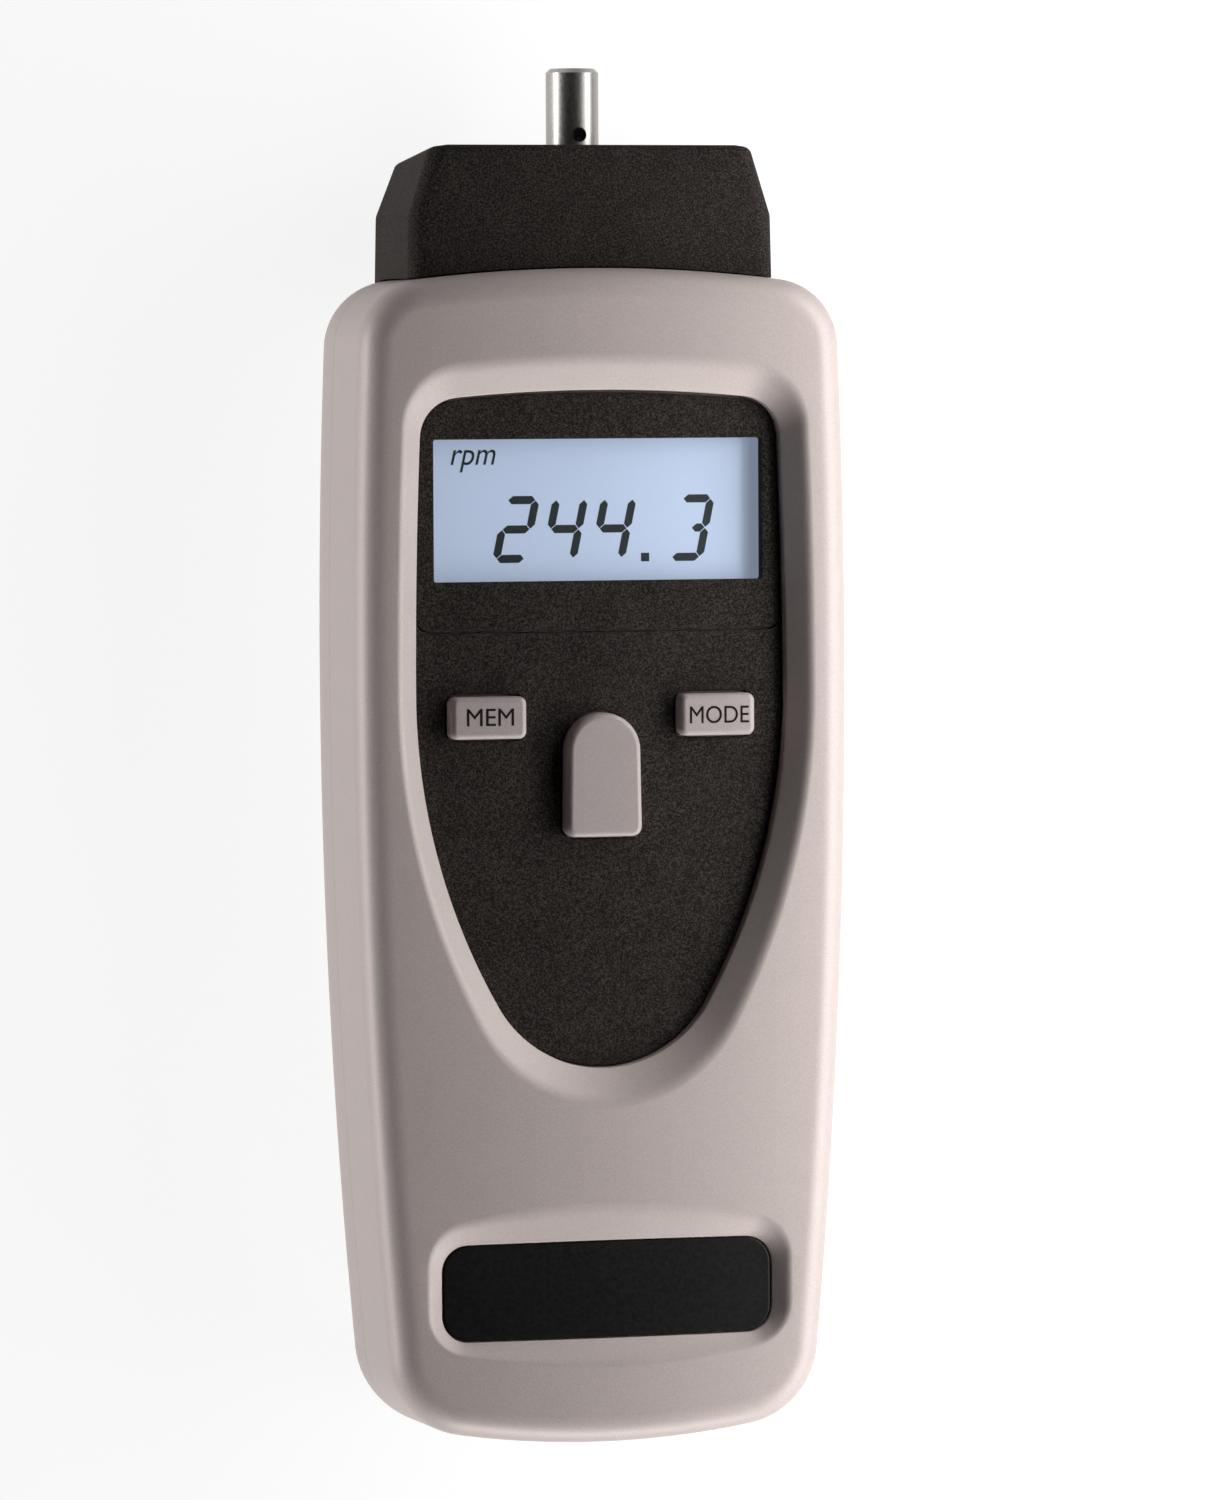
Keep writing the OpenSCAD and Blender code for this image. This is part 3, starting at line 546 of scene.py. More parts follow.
def eased(share: float, soft: float) -> float:
    """Depth of a slope whose start is rounded.

    Args:
        share: Way along the slope, from 0 to 1.
        soft: Share of the way that the rounding takes.

    Returns:
        The depth at that place, from 0 to 1.
    """
    whole = 1 - soft / 2
    return share * share / (2 * soft * whole) if share < soft else (share - soft / 2) / whole


class Workpiece:
    """Mesh of one piece while it is shaped, in millimetres from the housing's foot."""

    def __init__(self) -> None:
        """Starts with an empty mesh."""
        self.mesh = bmesh.new()

    def loop(self, half: HalfOutline, z: float, x: float = 0.0) -> list[BMEdge]:
        """Draws a closed outline: its right half, then the mirrored left one.

        Args:
            half: Right half of the outline.
            z: Level of the outline.
            x: Shift across.

        Returns:
            The edges of the closed outline.
        """
        known = set(self.mesh.edges)
        tip = [self.mesh.verts.new((0, half.foot, z))]
        for stretch in half.stretches:
            tip = stretch.draw(self.mesh, tip, z)
        drawn = [edge for edge in self.mesh.edges if edge not in known]
        right = ends_of(drawn) + drawn
        bmesh.ops.mirror(self.mesh, geom=right, matrix=Matrix(), merge_dist=MERGE, axis="X")
        closed = [edge for edge in self.mesh.edges if edge not in known]
        bmesh.ops.translate(self.mesh, vec=(x, 0, 0), verts=ends_of(closed))
        return closed

    def prism(self, half: HalfOutline, low: float, high: float, x: float = 0.0) -> list[BMEdge]:
        """Raises an outline to a closed prism.

        Args:
            half: Right half of the outline.
            low: Level of its foot.
            high: Level of its top.
            x: Shift across.

        Returns:
            The edges round the top.
        """
        base = bmesh.ops.contextual_create(self.mesh, geom=self.loop(half, low, x))["faces"]
        return self.lift(base, high - low)

    def lift(self, faces: list[BMFace], by: float) -> list[BMEdge]:
        """Raises level faces, with walls under them.

        Args:
            faces: Faces that are raised.
            by: Height that they are raised by.

        Returns:
            The edges round the raised faces.
        """
        raised = bmesh.ops.extrude_face_region(self.mesh, geom=faces)["geom"]
        bmesh.ops.translate(self.mesh, vec=(0, 0, by), verts=of_kind(raised, BMVert))
        return of_kind(raised, BMEdge)

    def rod(self, d: float, start: Vector, end: Vector) -> None:
        """Adds a round rod between two points.

        Args:
            d: Diameter of the rod.
            start: Middle of its first end.
            end: Middle of its second end.
        """
        run = end - start
        turn = run.to_track_quat("Z", "Y").to_matrix().to_4x4()
        bmesh.ops.create_cone(
            self.mesh,
            cap_ends=True,
            segments=ROUND_SIDES,
            radius1=d / 2,
            radius2=d / 2,
            depth=run.length,
            matrix=Matrix.Translation((start + end) / 2) @ turn,
        )

    def rods(self, d: float, spots: tuple[tuple[float, float], ...], low: float, high: float) -> None:
        """Adds a pair of upright rods at each spot, one on either side of the middle.

        Args:
            d: Diameter of the rods.
            spots: Distance from the middle, and place along the housing, of each pair.
            low: Level of their feet.
            high: Level of their tops.
        """
        for x, y in spots:
            for side in (-x, x):
                self.rod(d, Vector((side, y, low)), Vector((side, y, high)))

    def slab(self, half: float, ends: tuple[float, float], levels: tuple[float, float]) -> None:
        """Adds a box that is centred across, from its half width, its ends and its levels."""
        self.block(Vector((-half, ends[0], levels[0])), Vector((half, ends[1], levels[1])))

    def block(self, low: Vector, high: Vector) -> None:
        """Adds a box between two corners."""
        size = Matrix.Diagonal((*(high - low), 1))
        bmesh.ops.create_cube(self.mesh, size=1, matrix=Matrix.Translation((low + high) / 2) @ size)

    def soften(self, edges: list[BMEdge], width: float, segments: int) -> None:
        """Rounds edges.

        Args:
            edges: Edges that are rounded.
            width: Width of the rounding on either side.
            segments: Number of steps across it.
        """
        bmesh.ops.bevel(
            self.mesh,
            geom=edges,
            offset=width,
            offset_type="OFFSET",
            segments=segments,
            profile=0.5,
            affect="EDGES",
            clamp_overlap=True,
            material=-1,
        )

    def edges_at(self, z: float) -> list[BMEdge]:
        """Returns the edges that lie at a level."""
        return [edge for edge in self.mesh.edges if all(abs(end.co.z - z) < MERGE for end in edge.verts)]

    def face_at(self, z: float) -> BMFace:
        """Returns the largest face at a level."""
        level = [f for f in self.mesh.faces if all(abs(corner.co.z - z) < MERGE for corner in f.verts)]
        return max(level, key=BMFace.calc_area)

    def skin(self, first: list[BMEdge], second: list[BMEdge]) -> list[BMEdge]:
        """Spans a wall between two outlines, and returns the edges that join them."""
        return bmesh.ops.bridge_loops(self.mesh, edges=first + second)["edges"]

    def border(self, brink: list[BMEdge], half: HalfOutline, z: float, x: float = 0.0) -> list[BMEdge]:
        """Spans a level border between two outlines, which are joined apart and then brought level.

        Args:
            brink: Edges of the outline that is there.
            half: Right half of the other outline.
            z: Level of both.
            x: Shift across.

        Returns:
            The edges of the other outline.
        """
        edges = self.loop(half, z + APART, x)
        self.skin(brink, edges)
        for corner in ends_of(edges):
            corner.co.z = z
        return edges

    def fill(self, edges: list[BMEdge]) -> None:
        """Fills a level outline, leaving the outlines within it open."""
        bmesh.ops.triangle_fill(self.mesh, use_beauty=True, edges=edges, normal=(0, 0, 1))

    def stack(self, loops: list[list[BMEdge]]) -> None:
        """Closes a row of outlines into a body.

        Args:
            loops: Edges of each outline, one above the other.
        """
        for first, second in pairwise(loops):
            self.skin(first, second)
        for end in (loops[0], loops[-1]):
            bmesh.ops.contextual_create(self.mesh, geom=end)

    def plate(
        self, rim: Shape, holes: list[tuple[Shape, float]], low: float, high: float, soft: float
    ) -> None:
        """Makes a level plate with holes and softened upper edges.

        Args:
            rim: Outline of the plate.
            holes: Shapes of the holes, each with its shift across.
            low: Level of its underside.
            high: Level of its face.
            soft: Width of the softened edges.
        """
        bend = soft * SOFT_BEND
        steps = [(0, low), (0, high - soft), (bend, high - bend), (soft, high)]
        foot, face = [], []
        for shape, x, way in [(rim, 0.0, 1), *((hole, x, -1) for hole, x in holes)]:
            loops = [self.loop(shape.outline(way * inset), z, x) for inset, z in steps]
            for first, second in pairwise(loops):
                self.skin(first, second)
            foot += loops[0]
            face += self.border(loops[-1], shape.outline(way * 2 * soft), high, x)
        self.fill(foot)
        self.fill(face)

    def lathe(self, profile: list[tuple[float, float]], axis: Vector) -> None:
        """Turns a profile about an upright line of the drawing.

        Args:
            profile: Radius and height of each point, from the lower end to the upper one.
            axis: Any point on the line.
        """
        spots = [self.mesh.verts.new((axis.x + r, y, axis.z)) for r, y in profile]
        line = [self.mesh.edges.new(pair) for pair in pairwise(spots)]
        bmesh.ops.spin(
            self.mesh,
            geom=spots + line,
            cent=axis,
            axis=(0, 1, 0),
            angle=math.tau,
            steps=LATHE_STEPS,
            use_merge=True,
        )
        bmesh.ops.remove_doubles(self.mesh, verts=self.mesh.verts, dist=MERGE)

    def recess(self, mouth: HalfOutline, throat: HalfOutline, levels: Levels) -> list[BMEdge]:
        """Sinks a sloped recess with an upright pocket at its throat.

        Args:
            mouth: Outline where the slope leaves the face.
            throat: Outline where the slope ends.
            levels: Heights of the face, the throat and the pocket's floor.

        Returns:
            The edges of the mouth, ready for the face round it.
        """
        edge, rim = self.loop(mouth, levels.face), self.loop(throat, levels.throat)
        slope = bmesh.ops.subdivide_edges(
            self.mesh, edges=self.skin(edge, rim), cuts=SLOPE_CUTS, use_grid_fill=True
        )
        depth = levels.face - levels.throat
        for corner in of_kind(slope["geom_inner"], BMVert):
            share = (levels.face - corner.co.z) / depth
            corner.co.z = levels.face - depth * eased(share, levels.soft)
        pocket = bmesh.ops.extrude_edge_only(self.mesh, edges=rim)["geom"]
        sunk = (0, 0, levels.floor - levels.throat)
        bmesh.ops.translate(self.mesh, vec=sunk, verts=of_kind(pocket, BMVert))
        bmesh.ops.contextual_create(self.mesh, geom=of_kind(pocket, BMEdge))
        self.soften(rim, levels.rim_round, RIM_STEPS)
        return edge

    def combine(self, tool: Workpiece, how: Joining) -> None:
        """Cuts another workpiece away from this one, adds it, or keeps what both share.

        Args:
            tool: The other workpiece, which is used up.
            how: Which of the three is done.
        """
        body, other = self.stand_in("body"), tool.stand_in("tool")
        joint = body.modifiers.new("joint", "BOOLEAN")
        joint.operation, joint.solver, joint.object = how.value, "EXACT", other
        shaped = final_mesh(body)
        self.mesh.clear()
        self.mesh.from_mesh(shaped)
        tool.mesh.free()
        for stand_in in (body, other):
            bpy.data.meshes.remove(stand_in.data)
        bpy.data.meshes.remove(shaped)

    def stand_in(self, name: str) -> bpy.types.Object:
        """Shows this mesh as a passing object, its faces turned outwards.

        Args:
            name: Name of the object.

        Returns:
            The object.
        """
        bmesh.ops.recalc_face_normals(self.mesh, faces=self.mesh.faces)
        mesh = bpy.data.meshes.new(name)
        self.mesh.to_mesh(mesh)
        return put_in_scene(name, mesh)

    def turn(self, matrix: Matrix) -> None:
        """Moves the whole workpiece by a matrix."""
        bmesh.ops.transform(self.mesh, matrix=matrix, verts=self.mesh.verts)


class Workshop:
    """Finishes workpieces into pieces of the object and hangs them on the frame's bodies."""

    def __init__(self) -> None:
        """Loads the frame and keeps its box."""
        self.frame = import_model()
        self.low, self.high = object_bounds()
        self.slots = {row["node"]: row["material_slot"] for row in self.frame["record"]["subparts"]}

    def body_of(self, node: str) -> str:
        """Returns the body that carries a node."""
        return self.frame["nodes"][node]["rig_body"]

    def piece(
        self, name: str, work: Workpiece, node: str, finish: Finish, stands_for: bool = True
    ) -> bpy.types.Object:
        """Turns a workpiece into a piece that rides with a node's body.

        Args:
            name: Name of the piece.
            work: The workpiece, which is used up.
            node: CAD node that it belongs to.
            finish: Its finish.
            stands_for: Whether it replaces that node.

        Returns:
            The piece.
        """
        bmesh.ops.remove_doubles(work.mesh, verts=work.mesh.verts, dist=MERGE)
        bmesh.ops.dissolve_degenerate(work.mesh, dist=MERGE, edges=work.mesh.edges)
        bmesh.ops.recalc_face_normals(work.mesh, faces=work.mesh.faces)
        work.turn(Matrix.Translation((0, self.low.y, 0)) @ Matrix.Scale(MM, 4))
        data = bpy.data.meshes.new(name)
        work.mesh.to_mesh(data)
        work.mesh.free()
        data.shade_smooth()
        data.set_sharp_from_angle(angle=SMOOTH_ANGLE)
        data.materials.append(finish.material())
        shown = put_in_scene(name, data)
        even = shown.modifiers.new("even shading", "WEIGHTED_NORMAL")
        even.keep_sharp = True
        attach(shown, self.body_of(node))
        finish.slot
        if stands_for:
            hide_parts(node)
        LOG.info("%s: %d faces, on %s", name, len(data.polygons), self.body_of(node))
        return shown

    def dress(self, node: str, finish: Finish) -> None:
        """Gives a CAD node that stays in view its finish.

        Args:
            node: The node.
            finish: Its finish.
        """
        data = self.frame["nodes"][node].data
        data.materials.clear()
        data.materials.append(finish.material())
        LOG.info("%s: %s", node, finish.slot)


class NodeTree:
    """Short way to build a node tree."""

    def __init__(self, tree: bpy.types.NodeTree) -> None:
        """Takes the tree that is built."""
        self.tree = tree

    def add(self, kind: str, **settings: object) -> bpy.types.Node:
        """Adds a node.

        Args:
            kind: Blender's name of its kind.
            settings: Settings of the node, by name.

        Returns:
            The node.
        """
        node = self.tree.nodes.new(kind)
        for name, value in settings.items():
            setattr(node, name, value)
        return node

    def feed(self, node: bpy.types.Node, **inputs: object) -> None:
        """Sets or links a node's inputs.

        Args:
            node: The node.
            inputs: Input names, with underscores for spaces, and a socket to link or a value to set.
        """
        for name, value in inputs.items():
            self.put(node.inputs[name.replace("_", " ")], value)

    def put(self, socket: bpy.types.NodeSocket, value: object) -> None:
        """Links an input or sets its value.

        Args:
            socket: The input.
            value: Socket that it is linked to, or its value.
        """
        if isinstance(value, bpy.types.NodeSocket):
            self.tree.links.new(value, socket)
        else:
            socket.default_value = value

    def math(self, operation: str, first: bpy.types.NodeSocket, second: object) -> bpy.types.NodeSocket:
        """Works out one value from two.

        Args:
            operation: Name of the sum.
            first: The first value.
            second: The second value, as a number or a socket.

        Returns:
            The result.
        """
        node = self.add("ShaderNodeMath", operation=operation)
        for socket, value in zip(node.inputs, (first, second)):
            self.put(socket, value)
        return node.outputs["Value"]

    def spread(self, value: bpy.types.NodeSocket, ends: tuple, to: tuple) -> bpy.types.NodeSocket:
        """Maps one range of a value to another.

        Args:
            value: The value.
            ends: Range that is read, as numbers or sockets.
            to: Range that comes out, as numbers or sockets.

        Returns:
            The mapped value.
        """
        node = self.add("ShaderNodeMapRange", clamp=True)
        self.feed(node, Value=value, From_Min=ends[0], From_Max=ends[1], To_Min=to[0], To_Max=to[1])
        return node.outputs["Result"]


class Grain:
    """Shared effect: fine moulded or painted grain with slow mottling under it."""

    NAME = "surface grain"
    INPUTS = {
        "Vector": "NodeSocketVector",
        "Scale": "NodeSocketFloat",
        "Light": "NodeSocketColor",
        "Dark": "NodeSocketColor",
        "Low": "NodeSocketFloat",
        "High": "NodeSocketFloat",
        "Smooth": "NodeSocketFloat",
        "Rough": "NodeSocketFloat",
    }
    OUTPUTS = {"Color": "NodeSocketColor", "Roughness": "NodeSocketFloat", "Height": "NodeSocketFloat"}
    DETAIL = 2.0
    FINE_ROUGHNESS = 0.6
    SLOW_SCALE = 0.04
    SLOW_SHARE = 0.08
    GLOSS_ENDS = (0.3, 0.7)
    # Places of the colour sockets among those of a mix node.
    COLOR_A, COLOR_B, COLOR_OUT = 6, 7, 2

    @classmethod
    def group(cls) -> bpy.types.NodeTree:
        """Builds the node group at its first use.

        Returns:
            The node group.
        """
        known = bpy.data.node_groups.get(cls.NAME)
        if known:
            return known
        tree = bpy.data.node_groups.new(cls.NAME, "ShaderNodeTree")
        for direction, sockets in (("INPUT", cls.INPUTS), ("OUTPUT", cls.OUTPUTS)):
            for name, kind in sockets.items():
                tree.interface.new_socket(name, in_out=direction, socket_type=kind)
        nodes = NodeTree(tree)
        given, out = nodes.add("NodeGroupInput").outputs, nodes.add("NodeGroupOutput")
        fine = nodes.add("ShaderNodeTexNoise")
        nodes.feed(fine, Vector=given["Vector"], Scale=given["Scale"])
        nodes.feed(fine, Detail=cls.DETAIL, Roughness=cls.FINE_ROUGHNESS)
        slow = nodes.add("ShaderNodeTexNoise")
        slow_scale = nodes.math("MULTIPLY", given["Scale"], cls.SLOW_SCALE)
        nodes.feed(slow, Vector=given["Vector"], Scale=slow_scale, Detail=cls.DETAIL)
        both = nodes.add("ShaderNodeMix", data_type="FLOAT")
        nodes.feed(both, Factor=cls.SLOW_SHARE, A=fine.outputs["Fac"], B=slow.outputs["Fac"])
        share = nodes.spread(both.outputs["Result"], (given["Low"], given["High"]), (0.0, 1.0))
        tint = nodes.add("ShaderNodeMix", data_type="RGBA")
        nodes.feed(tint, Factor=share)
        nodes.put(tint.inputs[cls.COLOR_A], given["Dark"])
        nodes.put(tint.inputs[cls.COLOR_B], given["Light"])
        gloss = nodes.spread(fine.outputs["Fac"], cls.GLOSS_ENDS, (given["Smooth"], given["Rough"]))
        nodes.feed(out, Color=tint.outputs[cls.COLOR_OUT], Roughness=gloss, Height=fine.outputs["Fac"])
        return tree


@dataclass(frozen=True)
class Finish:
    """One surface finish: colours, gloss and grain."""

    name: str
    light: tuple[float, float, float]
    dark: tuple[float, float, float]
    gloss: tuple[float, float]
    grain_mm: float
    bump: float
    metallic: float = 0.0
    specular: float = 0.5
    alpha: float = 1.0
    glow: float = 0.0
    speckle: tuple[float, float] = (0.34, 0.66)
    ink_on: str = ""

    @property
    def slot(self) -> str:
        """Material slot of the record that the finish belongs to."""
        return self.ink_on or self.name

    def material(self) -> bpy.types.Material:
        """Builds the finish's material at its first use.

        Returns:
            The material.
        """
        name = f"{self.name}_finish"
        known = bpy.data.materials.get(name)
        if known:
            return known
        material = bpy.data.materials.new(name)
        material.use_nodes = True
        nodes = NodeTree(material.node_tree)
        shader = material.node_tree.nodes["Principled BSDF"]
        place = nodes.add("ShaderNodeTexCoord").outputs["Object"]
        grain = nodes.add("ShaderNodeGroup", node_tree=Grain.group())
        nodes.feed(
            grain,
            Vector=place,
            Scale=1 / (self.grain_mm * MM),
            Light=(*self.light, 1),
            Dark=(*self.dark, 1),
            Low=self.speckle[0],
            High=self.speckle[1],
            Smooth=self.gloss[0],
            Rough=self.gloss[1],
        )
        if self.bump:
            bump = nodes.add("ShaderNodeBump")
            nodes.feed(bump, Strength=self.bump, Distance=self.grain_mm * MM / 2)
            nodes.feed(bump, Height=grain.outputs["Height"])
            nodes.feed(shader, Normal=bump.outputs["Normal"])
        nodes.feed(
            shader,
            Base_Color=grain.outputs["Color"],
            Roughness=grain.outputs["Roughness"],
            Metallic=self.metallic,
            Specular_IOR_Level=self.specular,
            Alpha=self.alpha,
        )
        # Painted glow: emission that lifts the surface's shade, standing in for light that the lamps
        # don't give.
        if self.glow:
            nodes.feed(shader, Emission_Color=grain.outputs["Color"], Emission_Strength=self.glow)
        return material


# Each finish gives its light and dark colours, its range of roughness, its grain and its bump.
SILVER_PAINT = Finish(
    "silver_paint", (0.61, 0.525, 0.502), (0.49, 0.422, 0.403), (0.45, 0.62), 0.14, 0.08, metallic=0.15
)
BLACK_PLASTIC = Finish(
    "black_plastic",
    light=(0.092, 0.076, 0.068),
    dark=(0.01, 0.008, 0.007),
    gloss=(0.58, 0.82),
    grain_mm=0.19,
    bump=0.5,
    specular=0.08,
    speckle=(0.43, 0.74),
)
KEY_PLASTIC = Finish("key_plastic", (0.49, 0.425, 0.415), (0.445, 0.385, 0.375), (0.38, 0.48), 0.3, 0.04)
LABEL_BLACK = Finish(
    "label_black", (0.012, 0.011, 0.011), (0.008, 0.007, 0.007), (0.3, 0.4), 0.5, 0.02, specular=0.2
)
CLEAR_WINDOW = Finish(
    "clear_window", (0.2, 0.21, 0.22), (0.18, 0.19, 0.2), (0.03, 0.06), 2, 0.0, alpha=0.05
)
# The display glass has a painted glow that brightens it in its shaded recess.
LCD_GLASS = Finish("lcd_glass", (0.56, 0.67, 0.87), (0.53, 0.64, 0.845), (0.3, 0.4), 0.25, 0.0, glow=0.36)
SPINDLE_STEEL = Finish(
    "spindle_steel", (0.42, 0.4, 0.38), (0.36, 0.34, 0.325), (0.3, 0.42), 0.3, 0.01, metallic=1.0
)
SCREW_STEEL = Finish(
    "screw_steel", (0.5, 0.5, 0.51), (0.4, 0.4, 0.41), (0.3, 0.45), 0.2, 0.05, metallic=1.0
)
BUSH_BRONZE = Finish(
    "bush_bronze", (0.62, 0.43, 0.26), (0.5, 0.34, 0.2), (0.35, 0.55), 0.2, 0.1, metallic=1.0
)
BOARD_GREEN = Finish("board_green", (0.025, 0.18, 0.08), (0.018, 0.14, 0.06), (0.25, 0.35), 0.5, 0.03)
DOME_RUBBER = Finish("dome_rubber", (0.36, 0.36, 0.36), (0.3, 0.3, 0.3), (0.6, 0.75), 0.2, 0.1)
CELL_JACKET = Finish(
    "cell_jacket", (0.32, 0.32, 0.34), (0.28, 0.28, 0.3), (0.25, 0.35), 0.8, 0.02, metallic=0.4
)
ROTOR_WHITE = Finish("rotor_white", (0.82, 0.82, 0.8), (0.76, 0.76, 0.74), (0.4, 0.55), 0.3, 0.05)
EMITTER_RED = Finish("emitter_red", (0.52, 0.02, 0.02), (0.45, 0.015, 0.015), (0.08, 0.15), 0.5, 0.0)
LCD_INK = Finish(
    "lcd_ink", (0.014, 0.026, 0.03), (0.01, 0.02, 0.024), (0.35, 0.45), 0.3, 0.0, ink_on="lcd_glass"
)
KEY_INK = Finish(
    "key_ink",
    light=(0.014, 0.011, 0.011),
    dark=(0.01, 0.008, 0.008),
    gloss=(0.5, 0.6),
    grain_mm=0.3,
    bump=0.0,
    specular=0.1,
    ink_on="key_plastic",
)
OUTER = (SILVER_PAINT, BLACK_PLASTIC, KEY_PLASTIC, LABEL_BLACK, CLEAR_WINDOW, LCD_GLASS, SPINDLE_STEEL)
INNER = (SCREW_STEEL, BUSH_BRONZE, BOARD_GREEN, DOME_RUBBER, CELL_JACKET, ROTOR_WHITE, EMITTER_RED)
FINISHES = {finish.name: finish for finish in OUTER + INNER}


@dataclass(frozen=True)
class Heights:
    """Heights of the shared faces above the back, worked out downwards from the front face."""

    front: float = 26.5
    parting: float = 13.3
    axis: float = 13.2
    board: float = 16.0
    funnel: float = 2.2
    panel_drop: float = 1.2
    panel_t: float = 1.2
    floor_t: float = 2.0
    window_t: float = 0.6
    air: float = 0.1
    glass_t: float = 2.2
    label_drop: float = 1.4
    label_t: float = 1.0

    @property
    def rim(self) -> float:
        """Lower end of the funnel."""
        return self.front - self.funnel

    @property
    def panel(self) -> float:
        """Face of the black panels."""
        return self.rim - self.panel_drop

    @property
    def seat(self) -> float:
        """Seat of the black panels, and face of the window."""
        return self.panel - self.panel_t

    @property
    def ceiling(self) -> float:
        """Inside of the front cover's floor."""
        return self.seat - self.floor_t

    @property
    def window(self) -> float:
        """Back of the window."""
        return self.seat - self.window_t

    @property
    def glass(self) -> float:
        """Face of the display glass."""
        return self.window - self.air

    @property
    def label(self) -> float:
        """Face of the label's plate."""
        return self.front - self.label_drop


HEIGHTS = Heights()
TONGUE = Tongue()
LABEL = Bowed(
    half=20,
    widest=18.1,
    side_r=2000,
    foot=12.5,
    foot_r=2000,
    foot_corner=3,
    top=23.7,
    top_r=2000,
    top_corner=3,
)
VIEW = Rounded(half=20, foot=101, top=117.6, r=0.3)
LAP = Vector((0.9, 1.26))
WINDOW = Rounded(half=VIEW.half + LAP.x, foot=VIEW.foot - LAP.y, top=VIEW.top + LAP.y, r=0.4)


@dataclass(frozen=True)
class Housing:
    """Silver housing: front cover with its recesses, rear cover and battery door."""

    outer: Bowed = Bowed(
        half=30,
        widest=92,
        side_r=880,
        foot=0,
        foot_r=110,
        foot_corner=10,
        top=137.5,
        top_r=185,
        top_corner=8,
    )
    funnel_side: float = 3.0
    funnel_foot: float = 4.7
    funnel_top: float = 4.3
    label_mouth: Bowed = Bowed(
        half=22.4,
        widest=18.1,
        side_r=2000,
        foot=9.0,
        foot_r=90,
        foot_corner=5.5,
        top=28.6,
        top_r=90,
        top_corner=5.5,
    )
    front_round: float = 3.25
    front_steps: int = 12
    mouth_round: float = 0.36
    rim_round: float = 0.12
    flat_border: float = 0.4
    back_round_w: float = 7.0
    back_round_h: float = 11.0
    back_steps: int = 14
    part_line: float = 0.18
    part_steps: int = 2
    wall: float = 2.2
    lip_h: float = 1.0
    pillar_d: float = 6.6
    pillars: tuple[tuple[float, float], ...] = ((21, 12), (22.5, 128))
    screw_d: float = 2.9
    counterbore_d: float = 5.6
    counterbore_h: float = 6.4
    board_posts: tuple[tuple[float, float], ...] = ((22.5, 72.2), (22.5, 93.4))
    board_post_d: float = 4.8
    socket_half: float = 14.95
    socket_foot: float = 129.6
    socket_depth: float = 5.45
    socket_reach: float = 4.0
    bay_half: float = 14.95
    bay_foot: float = 7.5
    bay_end: float = 65.4
    bay_roof: float = 17.25
    tub_wall: float = 1.2
    door_half: float = 16.15
    groove_half: float = 17.35
    door_end: float = 67.8
    door_z: float = 1.25
    tongue_low: float = 1.4
    tongue_high: float = 2.4
    bay_z: float = 2.55
    door_sink: float = 0.3
    grips: int = 5
    grip_pitch: float = 3.0

    def back_form(self, inset: float, top: float) -> Workpiece:
        """Makes the body of the back half with its rounded back edge.

        Args:
            inset: Distance inside the real outer form.
            top: Level of its upper end.

        Returns:
            The body.
        """
        height = self.back_round_h - inset
        form, loops = Workpiece(), []
        for step in range(self.back_steps + 1):
            turn = math.pi / 2 * (1 - step / self.back_steps)
            level = inset + height * (1 - math.sin(turn))
            outline = self.outer.outline(inset + self.back_round_w * (1 - math.cos(turn)))
            loops.append(form.loop(outline, level))
        form.stack([*loops, form.loop(self.outer.outline(inset), top)])
        return form

    def posts(self, d: float, low: float, high: float) -> Workpiece:
        """Makes the four upright posts at the housing's screws.

        Args:
            d: Diameter of the posts.
            low: Level of their feet.
            high: Level of their tops.

        Returns:
            The posts.
        """
        posts = Workpiece()
        posts.rods(d, self.pillars, low, high)
        return posts

    def plug_socket(self) -> Workpiece:
        """Makes the opening that takes the adapter's plug.

        Returns:
            The opening.
        """
        hole = Workpiece()
        hole.slab(
            self.socket_half,
            (self.socket_foot, self.outer.top + self.socket_reach),
            (HEIGHTS.axis - self.socket_depth, HEIGHTS.axis + self.socket_depth),
        )
        return hole

    def lip(self) -> Workpiece:
        """Makes the lip that lines the covers up, open round the screw pillars.

        Returns:
            The lip.
        """
        low, high = HEIGHTS.parting, HEIGHTS.parting + 2 * self.lip_h
        lip, hollow = Workpiece(), Workpiece()
        lip.prism(self.outer.outline(self.wall / 2 + SNUG), low - OVERCUT, low + self.lip_h)
        hollow.prism(self.outer.outline(self.wall), low - 2 * OVERCUT, high)
        lip.combine(hollow, Joining.CUT)
        lip.combine(self.posts(self.pillar_d + 2 * SNUG, low, high), Joining.CUT)
        return lip

    def tub(self) -> Workpiece:
        """Makes the walls of the battery bay and of the door's guide.

        Returns:
            The walls.
        """
        wall = Vector((self.tub_wall, self.tub_wall, 0))
        tub, guide = Workpiece(), Workpiece()
        tub.block(
            Vector((-self.bay_half, self.bay_foot, self.wall / 2)) - wall,
            Vector((self.bay_half, self.bay_end, self.bay_roof + self.tub_wall)) + wall,
        )
        guide.block(
            Vector((-self.groove_half, self.bay_foot, self.wall / 2)) - wall,
            Vector((self.groove_half, self.door_end, self.bay_z + self.tub_wall)) + wall,
        )
        tub.combine(guide, Joining.ADD)
        return tub

